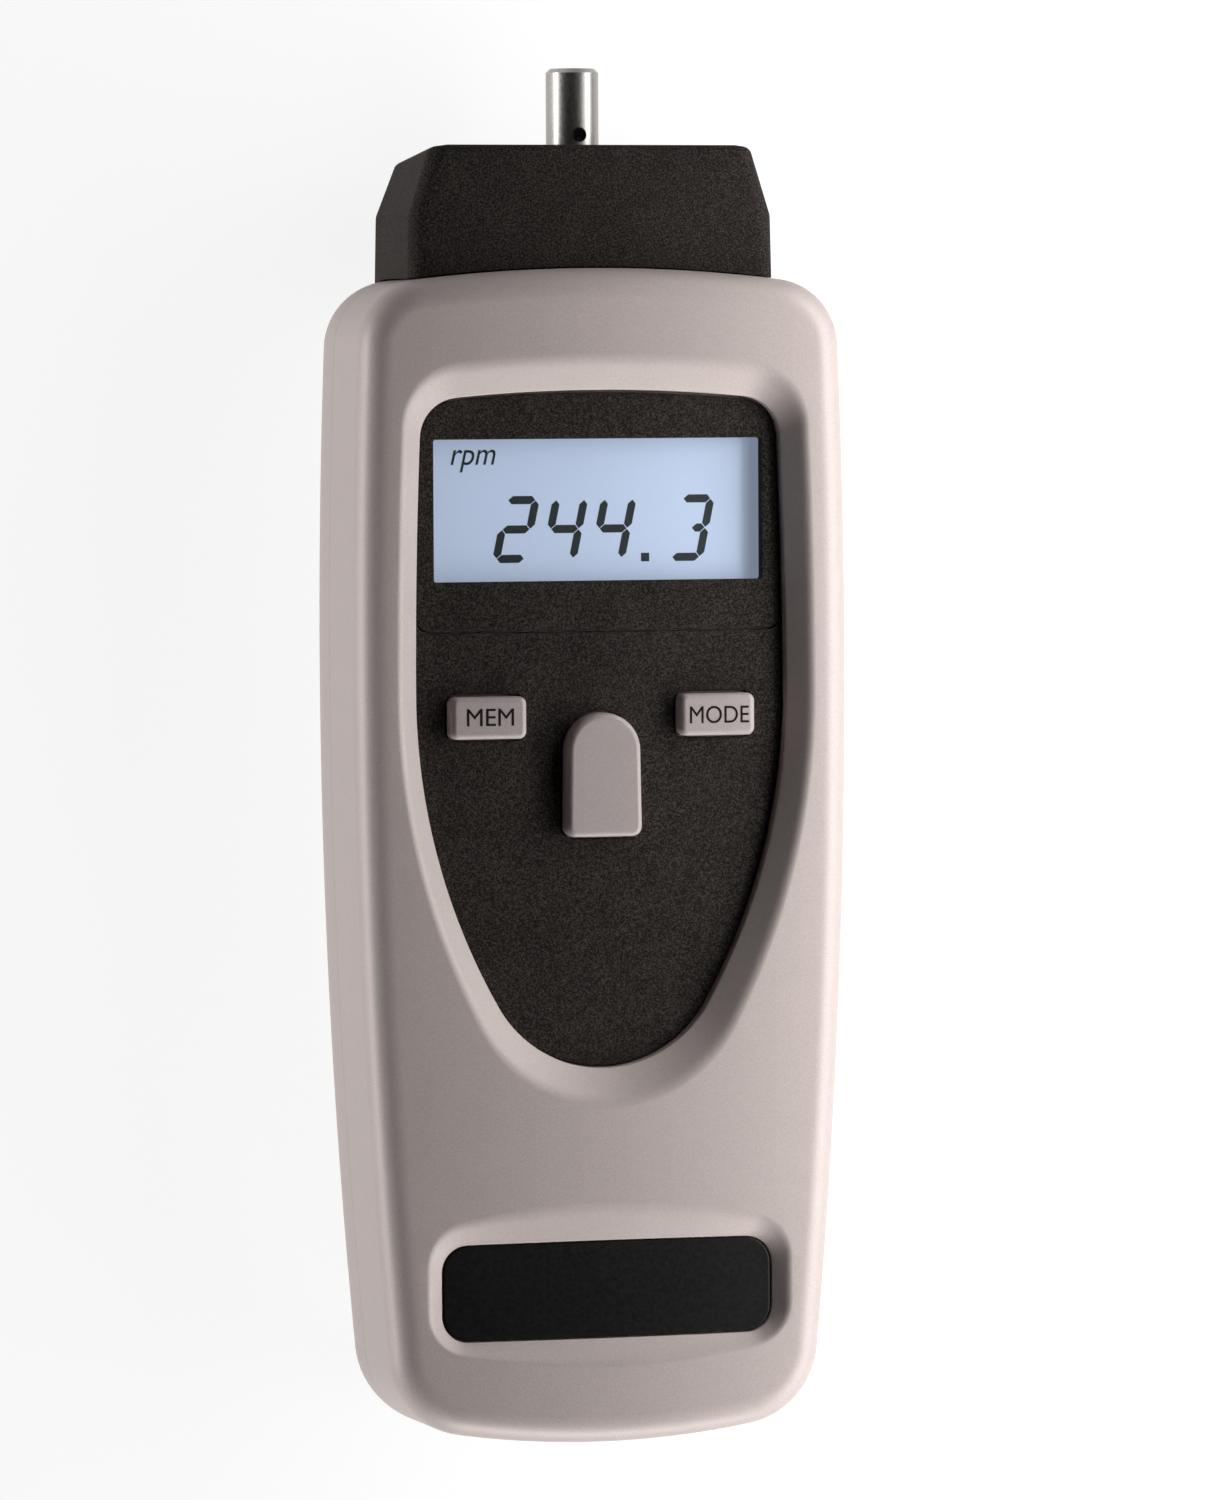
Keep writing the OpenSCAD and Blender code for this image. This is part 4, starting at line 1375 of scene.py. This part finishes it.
    def rear_cover(self, shop: Workshop) -> None:
        """Builds the rear cover with its battery tub, lip and screw holes.

        Args:
            shop: Workshop that finishes the pieces.
        """
        cover = self.back_form(0, HEIGHTS.parting)
        cover.soften(cover.edges_at(HEIGHTS.parting), self.part_line, self.part_steps)
        inside = self.back_form(self.wall, HEIGHTS.parting + OVERCUT)
        inside.combine(self.posts(self.pillar_d, 0, HEIGHTS.parting + 2 * OVERCUT), Joining.CUT)
        cover.combine(inside, Joining.CUT)
        cover.combine(self.lip(), Joining.ADD)
        cover.combine(self.tub(), Joining.ADD)
        bay, slot, groove = Workpiece(), Workpiece(), Workpiece()
        run = (-OVERCUT, self.door_end + SNUG)
        bay.slab(self.bay_half, (self.bay_foot, self.bay_end), (-OVERCUT, self.bay_roof))
        slot.slab(self.door_half + SNUG, run, (-OVERCUT, self.tongue_low))
        groove.slab(self.groove_half + SNUG, run, (self.door_z, self.bay_z))
        for hole in (bay, slot, groove, self.plug_socket()):
            cover.combine(hole, Joining.CUT)
        cover.combine(self.posts(self.counterbore_d, -OVERCUT, self.counterbore_h), Joining.CUT)
        cover.combine(self.posts(self.screw_d, 0, HEIGHTS.parting + OVERCUT), Joining.CUT)
        shop.piece("rear_cover", cover, "rear_shell", SILVER_PAINT)

    def battery_door(self, shop: Workshop) -> None:
        """Builds the sliding battery door with its grip.

        Args:
            shop: Workshop that finishes the pieces.
        """
        door = self.back_form(self.door_sink, HEIGHTS.parting)
        face, tongues, grip = Workpiece(), Workpiece(), Workpiece()
        run = (-OVERCUT, self.door_end)
        face.slab(self.door_half, run, (0, self.tongue_low + OVERCUT))
        tongues.slab(self.groove_half, run, (self.tongue_low, self.tongue_high))
        face.combine(tongues, Joining.ADD)
        door.combine(face, Joining.KEEP)
        reach = Vector((self.door_half / 2, self.grip_pitch / 4, (self.door_z - self.door_sink) / 2))
        for step in range(self.grips):
            middle = Vector((0, self.pillars[0][1] + self.grip_pitch * step, self.door_sink))
            grip.block(middle - reach, middle + reach)
        door.combine(grip, Joining.CUT)
        shop.piece("door", door, "battery_door", SILVER_PAINT)

    def funnel_mouth(self) -> Tongue:
        """Returns the outline where the funnel leaves the front face."""
        return TONGUE.grown(self.funnel_side, self.funnel_foot, self.funnel_top)

    def front_cover(self, shop: Workshop) -> None:
        """Builds the front cover with the funnel round the pod and the label's recess.

        Args:
            shop: Workshop that finishes the pieces.
        """
        cover = Workpiece()
        top = cover.prism(self.outer.outline(), HEIGHTS.parting, HEIGHTS.front)
        cover.soften(top, self.front_round, self.front_steps)
        cover.soften(cover.edges_at(HEIGHTS.parting), self.part_line, self.part_steps)
        lid = cover.face_at(HEIGHTS.front)
        brink = list(lid.edges)
        bmesh.ops.delete(cover.mesh, geom=[lid], context="FACES_ONLY")
        edge = cover.border(brink, self.outer.outline(self.front_round + self.flat_border), HEIGHTS.front)
        for mouth, throat, level, floor in (
            (self.funnel_mouth(), TONGUE.outline(), HEIGHTS.rim, HEIGHTS.seat),
            (self.label_mouth, LABEL.outline(-SNUG), HEIGHTS.label, HEIGHTS.label - HEIGHTS.label_t),
        ):
            levels = Levels(HEIGHTS.front, level, floor, self.mouth_round, self.rim_round)
            edge += cover.recess(mouth.outline(), throat, levels)
        cover.fill(edge)
        cavity, rebate, bosses, display = Workpiece(), Workpiece(), Workpiece(), Workpiece()
        below, through = HEIGHTS.parting - OVERCUT, (HEIGHTS.ceiling - OVERCUT, HEIGHTS.seat + OVERCUT)
        cavity.prism(self.outer.outline(self.wall), below, HEIGHTS.ceiling)
        rebate.prism(self.outer.outline(self.wall / 2), below, HEIGHTS.parting + self.lip_h + SNUG)
        bosses.rods(self.board_post_d, self.board_posts, HEIGHTS.board, HEIGHTS.ceiling + OVERCUT)
        display.slab(WINDOW.half + SNUG, (WINDOW.foot - SNUG, WINDOW.top + SNUG), through)
        for hole in (cavity, rebate, display):
            cover.combine(hole, Joining.CUT)
        cover.combine(self.posts(self.pillar_d, HEIGHTS.parting, HEIGHTS.ceiling + OVERCUT), Joining.ADD)
        cover.combine(bosses, Joining.ADD)
        cover.combine(self.plug_socket(), Joining.CUT)
        keys = Keys()
        for shape, x in keys.shapes():
            hole = Workpiece()
            hole.prism(shape.outline(-keys.flange_w - keys.gap), *through, x)
            cover.combine(hole, Joining.CUT)
        shop.piece("front_cover", cover, "front_shell", SILVER_PAINT)

    def build(self, shop: Workshop) -> None:
        """Builds both covers and the battery door.

        Args:
            shop: Workshop that finishes the pieces.
        """
        self.front_cover(shop)
        self.rear_cover(shop)
        self.battery_door(shop)


@dataclass(frozen=True)
class Keys:
    """The three keys: crowned caps on flanges and stems, and the rubber domes under them."""

    measure: Arch = Arch(half=4.6, neck=4.45, foot=71.1, top=85.6, r=1.2)
    small: Rounded = Rounded(half=4.6, foot=82.725, top=87.675, r=0.9)
    small_x: float = 13.95
    measure_rise: float = 2.2
    small_rise: float = 1.9
    crown: float = 0.7
    crown_steps: int = 8
    flange_w: float = 0.8
    flange_t: float = 1.0
    stem_d: float = 4.0
    gap: float = 0.25
    travel: float = 1.0
    dome_flat: float = 0.9
    dome_d: float = 7.0
    dome_wall: float = 0.5
    dome_lip: float = 0.4
    dome_slack: float = 0.02

    def shapes(self) -> list[tuple[Shape, float]]:
        """Returns the shapes of the keys, each with its shift across."""
        return [(self.measure, 0.0), (self.small, -self.small_x), (self.small, self.small_x)]

    def key(self, shop: Workshop, node: str, shape: Arch | Rounded, x: float, rise: float) -> None:
        """Builds one key and its dome.

        Args:
            shop: Workshop that finishes it.
            node: Its CAD node.
            shape: Outline of its cap.
            x: Shift across.
            rise: Height above the panel.
        """
        cap, foot, stem = Workpiece(), Workpiece(), Workpiece()
        top = cap.prism(shape.outline(), HEIGHTS.seat - self.flange_t / 2, HEIGHTS.panel + rise, x)
        cap.soften(top, self.crown, self.crown_steps)
        foot.prism(shape.outline(-self.flange_w), HEIGHTS.seat - self.flange_t, HEIGHTS.seat, x)
        middle = (shape.foot + shape.top) / 2
        stem.rod(
            self.stem_d,
            Vector((x, middle, HEIGHTS.board + self.dome_flat + self.travel)),
            Vector((x, middle, HEIGHTS.seat - self.flange_t / 2)),
        )
        cap.combine(foot, Joining.ADD)
        cap.combine(stem, Joining.ADD)
        shop.piece(node.replace("button", "cap"), cap, node, KEY_PLASTIC)
        self.dome(shop, node.replace("button", "dome"), x, middle)

    def dome(self, shop: Workshop, node: str, x: float, y: float) -> None:
        """Builds the rubber dome under a key.

        Args:
            shop: Workshop that finishes it.
            node: Its CAD node.
            x: Its middle across.
            y: Its middle along the housing.
        """
        foot, head, wall = self.dome_d / 2, self.stem_d / 2, self.dome_wall
        height = self.dome_flat + self.travel
        work = Workpiece()
        inner = [(0, height - wall), (head - wall, height - wall), (foot - wall, 0)]
        outer = [(foot, 0), (foot, self.dome_lip), (head, height), (0, height)]
        work.lathe(inner + outer, Vector((0, 0, 0)))
        work.turn(Matrix.Translation((x, y, HEIGHTS.board)) @ Matrix.Rotation(math.pi / 2, 4, "X"))
        rubber = shop.piece(f"rubber_{node}", work, node, DOME_RUBBER)
        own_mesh(rubber)

    def build(self, shop: Workshop) -> None:
        """Builds the three keys and the legends of the small ones.

        Args:
            shop: Workshop that finishes the pieces.
        """
        self.key(shop, "measure_button", self.measure, 0.0, self.measure_rise)
        for node, x in (("mem_button", -self.small_x), ("mode_button", self.small_x)):
            self.key(shop, node, self.small, x, self.small_rise)
        top = HEIGHTS.panel + self.small_rise
        for word, node in (
            (Legend("MEM", x=-13.845, width=5.7, baseline=84.3, height=2.0), "mem_button"),
            (Legend("MODE", x=14.11, width=7.26, baseline=84.2, height=2.0), "mode_button"),
        ):
            word.build(shop, node, top, KEY_INK)


@dataclass(frozen=True)
class Legend:
    """Printed word: its text, middle, width, baseline, height, slant, stroke weight and smoothness."""

    text: str
    x: float
    width: float
    baseline: float
    height: float
    slant: float = 0.0
    weight: float = 0.07
    curve_steps: int = 6

    def build(self, shop: Workshop, node: str, z: float, finish: Finish) -> None:
        """Prints the word on a level face.

        Args:
            shop: Workshop that finishes it.
            node: CAD node that carries it.
            z: Level of the face.
            finish: Finish of its ink.
        """
        curve = bpy.data.curves.new(self.text, "FONT")
        curve.body, curve.shear, curve.resolution_u = self.text, self.slant, self.curve_steps
        passing = put_in_scene(self.text, curve)
        mesh = final_mesh(passing)
        word = Workpiece()
        word.mesh.from_mesh(mesh)
        bpy.data.objects.remove(passing)
        bpy.data.curves.remove(curve)
        bpy.data.meshes.remove(mesh)
        left = min(spot.co.x for spot in word.mesh.verts)
        right = max(spot.co.x for spot in word.mesh.verts)
        top = max(spot.co.y for spot in word.mesh.verts)
        size = Matrix.Diagonal((self.width / (right - left), self.height / top, 1, 1))
        word.turn(size @ Matrix.Translation((-(left + right) / 2, 0, 0)))
        word.turn(Matrix.Translation((self.x, self.baseline, z)))
        bmesh.ops.remove_doubles(word.mesh, verts=word.mesh.verts, dist=MERGE)
        bmesh.ops.inset_region(
            word.mesh, faces=word.mesh.faces[:], thickness=self.weight, use_outset=True, use_boundary=True
        )
        word.lift(word.mesh.faces[:], INK)
        shop.piece("legend_" + self.text.lower(), word, node, finish, stands_for=False)


@dataclass(frozen=True)
class Digits:
    """Seven-segment reading of the display."""

    reading: tuple[tuple[str, float], ...] = (("2", -12.5), ("4", -6.57), ("4", -0.65), ("3", 8.95))
    baseline: float = 103.15
    width: float = 4.35
    height: float = 7.8
    bar: float = 0.95
    gap: float = 0.07
    slant: float = 0.209
    point_x: float = 5.75
    point_w: float = 1.0

    LIT = {"2": "abged", "3": "abhcd", "4": "fgbc"}

    def bars(self) -> dict[str, tuple[Vector, Vector]]:
        """Works out the bars of an upright digit.

        Returns:
            The ends of the middle line of each of the seven bars, and of the 3's short bar.
        """
        edge = self.bar / 2
        left, right = edge, self.width - edge
        low, middle, high = edge, self.height / 2, self.height - edge
        corners = {
            "a": (left, high, right, high),
            "b": (right, middle, right, high),
            "c": (right, low, right, middle),
            "d": (left, low, right, low),
            "e": (left, low, left, middle),
            "f": (left, middle, left, high),
            "g": (left, middle, right, middle),
            "h": (self.width / 2, middle, right, middle),
        }
        return {name: (Vector(ends[:2]), Vector(ends[2:])) for name, ends in corners.items()}

    def bar_face(self, work: Workpiece, start: Vector, end: Vector, x: float) -> None:
        """Draws one bar with mitred ends.

        Args:
            work: Workpiece that takes it.
            start: Start of its middle line.
            end: End of its middle line.
            x: Left edge of its digit.
        """
        along = (end - start).normalized()
        across = Vector((-along.y, along.x)) * self.bar / 2
        inner, tip = along * (self.bar / 2 + self.gap), along * self.gap
        ring = (start + tip, start + inner + across, end - inner + across, end - tip)
        ring += (end - inner - across, start + inner - across)
        lean = Matrix(((1, self.slant), (0, 1)))
        corners = [Vector((x, self.baseline)) + lean @ spot for spot in ring]
        work.mesh.faces.new([work.mesh.verts.new((*corner, HEIGHTS.glass)) for corner in corners])

    def build(self, shop: Workshop) -> None:
        """Builds the lit bars, the decimal point and the unit.

        Args:
            shop: Workshop that finishes the pieces.
        """
        work, bars = Workpiece(), self.bars()
        for digit, x in self.reading:
            for name in self.LIT[digit]:
                self.bar_face(work, *bars[name], x)
        half = self.point_w / 2
        middle = Matrix.Translation((self.point_x + half, self.baseline + half, HEIGHTS.glass))
        bmesh.ops.create_grid(work.mesh, x_segments=1, y_segments=1, size=half, matrix=middle)
        work.lift(work.mesh.faces[:], INK)
        shop.piece("digits", work, "lcd_cell", LCD_INK, stands_for=False)
        unit = Legend("rpm", x=-14.68, width=5.46, baseline=114.64, height=1.75, slant=0.25)
        unit.build(shop, "lcd_cell", HEIGHTS.glass, LCD_INK)


@dataclass(frozen=True)
class Pod:
    """Black panels in the funnel with the display under them, and the label's bare plate."""

    seam_y: float = 95.2
    corner_r: float = 1.8
    ledge: float = 1.1
    soft: float = 0.15

    def panels(self, shop: Workshop) -> None:
        """Builds the bezel, the keypad panel and the label's plate.

        Args:
            shop: Workshop that finishes the pieces.
        """
        bezel, keypad, label = Workpiece(), Workpiece(), Workpiece()
        keys = Keys()
        upper = Bezel(TONGUE.grown(*[-2 * SNUG] * 3), self.seam_y, self.corner_r)
        bezel.plate(upper, [(VIEW, 0.0)], HEIGHTS.seat, HEIGHTS.panel, self.soft)
        shop.piece("bezel", bezel, "display_bezel", BLACK_PLASTIC)
        lower = Keypad(TONGUE.grown(*[-SNUG] * 3), self.seam_y - SNUG, self.corner_r + SNUG)
        holes = [(Offset(shape, -keys.gap), x) for shape, x in keys.shapes()]
        keypad.plate(lower, holes, HEIGHTS.seat, HEIGHTS.panel, self.soft)
        shop.piece("keypad", keypad, "keypad_panel", BLACK_PLASTIC)
        label.plate(LABEL, [], HEIGHTS.label - HEIGHTS.label_t, HEIGHTS.label, self.soft)
        shop.piece("label", label, "label_plate", LABEL_BLACK)

    def display(self, shop: Workshop) -> None:
        """Builds the clear window and the stepped display glass.

        Args:
            shop: Workshop that finishes the pieces.
        """
        window, glass, back = Workpiece(), Workpiece(), Workpiece()
        window.plate(WINDOW, [], HEIGHTS.window, HEIGHTS.seat, self.soft / 2)
        shop.piece("window", window, "display_window", CLEAR_WINDOW)
        step = HEIGHTS.glass - HEIGHTS.glass_t / 2
        glass.prism(WINDOW.outline(), step, HEIGHTS.glass)
        back.slab(
            WINDOW.half,
            (WINDOW.foot + self.ledge, WINDOW.top - self.ledge),
            (HEIGHTS.glass - HEIGHTS.glass_t, step + self.soft),
        )
        glass.combine(back, Joining.ADD)
        shop.piece("glass", glass, "lcd_cell", LCD_GLASS)

    def build(self, shop: Workshop) -> None:
        """Builds the panels and the display."""
        self.panels(shop)
        self.display(shop)


@dataclass(frozen=True)
class Groove:
    """Turned groove: its radius, and where it starts and ends along the spindle."""

    r: float
    start: float
    end: float


@dataclass(frozen=True)
class Adapter:
    """Plug-on adapter: tapered hood and turned spindle."""

    depth: float = 17.6
    foot_y: float = 134.5
    foot_w: float = 44.6
    knee_y: float = 143.7
    knee_w: float = 44.2
    top_y: float = 151.9
    top_w: float = 39.2
    lean: float = math.tan(math.radians(6.2))
    edge_r: float = 2.0
    top_round: float = 0.8
    top_steps: int = 6
    knee_round: float = 0.3
    knee_steps: int = 3
    clearance: float = 0.2
    room_half: float = 18.28
    room_depth: float = 6.6
    room_roof: float = 147.55
    room_reach: float = 10.0
    bush_bore: float = 9.04
    post_d: float = 5.4
    post_x: float = 14.5
    post_foot: float = 145.55
    spindle_d: float = 6.2
    spindle_foot: float = 140.2
    spindle_top: float = 161.0
    chamfer: float = 0.5
    ring_bed: Groove = Groove(r=2.65, start=145.75, end=146.65)
    relief: Groove = Groove(r=2.85, start=151.3, end=151.9)
    cross_d: float = 1.7
    cross_y: float = 153.2
    cross_depth: float = 4.6

    def hood(self, shop: Workshop) -> None:
        """Builds the hood: three outlines, a leaning top, and the room inside.

        Args:
            shop: Workshop that finishes the pieces.
        """
        work, loops, half = Workpiece(), [], self.depth / 2
        foot, knee, top = (self.foot_y, self.foot_w), (self.knee_y, self.knee_w), (self.top_y, self.top_w)
        for level, width in (foot, knee, top):
            outline = Rounded(half=width / 2, foot=-half, top=half, r=self.edge_r).outline()
            loops.append(work.loop(outline, level))
        work.stack(loops)
        for corner in ends_of(loops[-1]):
            corner.co.z -= self.lean * (half - corner.co.y)
        bend = work.edges_at(self.knee_y)
        work.soften(loops[-1], self.top_round, self.top_steps)
        work.soften([edge for edge in bend if edge.is_valid], self.knee_round, self.knee_steps)
        axis, roof = HEIGHTS.axis, self.room_roof
        # The hood is drawn upright. Its height is turned to run along the housing here.
        work.turn(Matrix(((1, 0, 0, 0), (0, 0, 1, 0), (0, 1, 0, axis), (0, 0, 0, 1))))
        work.combine(Housing().back_form(-self.clearance, HEIGHTS.front), Joining.CUT)
        room, posts, bore = Workpiece(), Workpiece(), Workpiece()
        levels = (axis - self.room_depth, axis + self.room_depth)
        room.slab(self.room_half, (self.foot_y - self.room_reach, roof), levels)
        for x in (-self.post_x, self.post_x):
            posts.rod(self.post_d, Vector((x, self.post_foot, axis)), Vector((x, roof + OVERCUT, axis)))
        above = Vector((0, self.top_y + OVERCUT, axis))
        bore.rod(self.bush_bore, Vector((0, roof - OVERCUT, axis)), above)
        work.combine(room, Joining.CUT)
        work.combine(posts, Joining.ADD)
        work.combine(bore, Joining.CUT)
        shop.piece("hood", work, "adapter_housing", BLACK_PLASTIC)

    def spindle(self, shop: Workshop) -> None:
        """Builds the turned spindle with its ring bed, relief and cross hole.

        Args:
            shop: Workshop that finishes the pieces.
        """
        work, drill = Workpiece(), Workpiece()
        r, low, high = self.spindle_d / 2, self.spindle_foot, self.spindle_top
        profile = [(0, low), (r, low)]
        for groove in (self.ring_bed, self.relief):
            profile += [(r, groove.start), (groove.r, groove.start)]
            profile += [(groove.r, groove.end), (r, groove.end)]
        profile += [(r, high - self.chamfer), (r - self.chamfer, high), (0, high)]
        work.lathe(profile, Vector((0, 0, HEIGHTS.axis)))
        top = HEIGHTS.axis + r
        drill.rod(
            self.cross_d,
            Vector((0, self.cross_y, top - self.cross_depth)),
            Vector((0, self.cross_y, top + OVERCUT)),
        )
        work.combine(drill, Joining.CUT)
        shop.piece("shaft", work, "spindle", SPINDLE_STEEL)

    def build(self, shop: Workshop) -> None:
        """Builds the hood and the spindle."""
        self.hood(shop)
        self.spindle(shop)


@dataclass(frozen=True)
class Lamp:
    """Soft rectangular lamp: its name, its place and size in metres, and its power in watts."""

    name: str
    place: tuple[float, float, float]
    size: tuple[float, float]
    power: float

    def hang(self, aim: Vector) -> None:
        """Hangs the lamp in its place.

        Args:
            aim: Point that it faces.
        """
        data = bpy.data.lights.new(self.name, "AREA")
        data.shape, data.size, data.size_y, data.energy = "RECTANGLE", *self.size, self.power
        lamp = put_in_scene(self.name, data)
        lamp.location, lamp.visible_camera = self.place, False
        lamp.rotation_euler = (aim - Vector(self.place)).to_track_quat("-Z", "Y").to_euler()


LAMPS = (
    Lamp("key", (0.1, -0.004, 0.105), (0.3, 0.09), 0.12),
    Lamp("near", (0.072, 0.003, 0.06), (0.34, 0.03), 0.15),
    Lamp("foot", (0.12, -0.7, 0.1), (0.4, 0.05), 2.8),
    Lamp("left", (-0.6, 0.0, 0.009), (0.5, 0.012), 2.45),
)


@dataclass(frozen=True)
class Studio:
    """Floor, surroundings, lamps and camera."""

    yaw: float = math.radians(17)
    pitch: float = math.radians(2.519)
    roll: float = math.radians(-0.297)
    distance: float = 1.0475
    pixels_per_metre: float = 8467.0
    frame_height: int = 1500
    aim: tuple[float, float, float] = (0.0040836, 0.000247, 0.014)
    clip: tuple[float, float] = (0.05, 50)
    horizon: float = 0.03
    zenith: float = 0.01
    band: tuple[float, float] = (0.25, 0.75)
    floor_half: float = 6
    floor_grey: float = 0.22
    floor_rough: float = 0.9
    floor_glow: float = 0.88

    def camera(self) -> None:
        """Sets up the camera at the viewing angle of the photograph."""
        ahead = Vector(
            (
                math.sin(self.yaw) * math.cos(self.pitch),
                -math.sin(self.pitch),
                -math.cos(self.yaw) * math.cos(self.pitch),
            )
        )
        right = ahead.cross(Vector((0, 1, 0))).normalized()
        right = Matrix.Rotation(-self.roll, 3, ahead) @ right
        above = right.cross(ahead)
        data = bpy.data.cameras.new("camera")
        data.lens = data.sensor_width * self.pixels_per_metre * self.distance / self.frame_height
        data.clip_start, data.clip_end = self.clip
        camera = put_in_scene("camera", data)
        place = Matrix((right, above, -ahead)).transposed().to_4x4()
        place.translation = Vector(self.aim) - ahead * self.distance
        camera.matrix_world = place
        bpy.context.scene.camera = camera

    def floor(self) -> None:
        """Lays a grey floor that is white where it is seen or mirrored, and keeps faint shadows."""
        mesh = bmesh.new()
        bmesh.ops.create_grid(mesh, x_segments=1, y_segments=1, size=self.floor_half)
        data = bpy.data.meshes.new("floor")
        mesh.to_mesh(data)
        mesh.free()
        material = bpy.data.materials.new("floor")
        material.use_nodes = True
        nodes = NodeTree(material.node_tree)
        shader = material.node_tree.nodes["Principled BSDF"]
        rays = nodes.add("ShaderNodeLightPath").outputs
        seen = rays["Is Camera Ray"]
        for kind in ("Is Glossy Ray", "Is Transmission Ray"):
            seen = nodes.math("MAXIMUM", seen, rays[kind])
        nodes.feed(
            shader,
            Base_Color=(*[self.floor_grey] * 3, 1),
            Roughness=self.floor_rough,
            Specular_IOR_Level=0.0,
            Emission_Color=(1, 1, 1, 1),
            Emission_Strength=nodes.math("MULTIPLY", seen, self.floor_glow),
        )
        data.materials.append(material)
        floor = put_in_scene("floor", data)
        floor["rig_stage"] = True

    def world(self) -> None:
        """Sets dim surroundings that are a little lighter round the object than above it."""
        world = bpy.data.worlds.new("surroundings")
        world.use_nodes = True
        nodes = NodeTree(world.node_tree)
        apart = nodes.add("ShaderNodeSeparateXYZ")
        nodes.feed(apart, Vector=nodes.add("ShaderNodeTexCoord").outputs["Generated"])
        glow = nodes.spread(apart.outputs["Z"], self.band, (self.horizon, self.zenith))
        nodes.feed(world.node_tree.nodes["Background"], Color=(1, 1, 1, 1), Strength=glow)
        bpy.context.scene.world = world

    def build(self) -> None:
        """Builds the whole studio."""
        self.floor()
        self.world()
        for lamp in LAMPS:
            lamp.hang(Vector(self.aim))
        self.camera()
        bpy.context.scene.view_settings.view_transform = "Standard"


def main() -> None:
    """Builds the pieces in order and reports each of them."""
    logging.basicConfig(level=logging.INFO, format="%(message)s")
    for item in list(bpy.data.objects):
        bpy.data.objects.remove(item)
    shop = Workshop()
    for node, slot in shop.slots.items():
        shop.dress(node, FINISHES[slot])
    for assembly in (Housing(), Pod(), Keys(), Digits(), Adapter()):
        assembly.build(shop)
    Studio().build()
    boxes = {"cad": (shop.low, shop.high), "visual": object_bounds()}
    json.dumps({name: [list(end) for end in box] for name, box in boxes.items()})


if __name__ == "__main__":
    main()
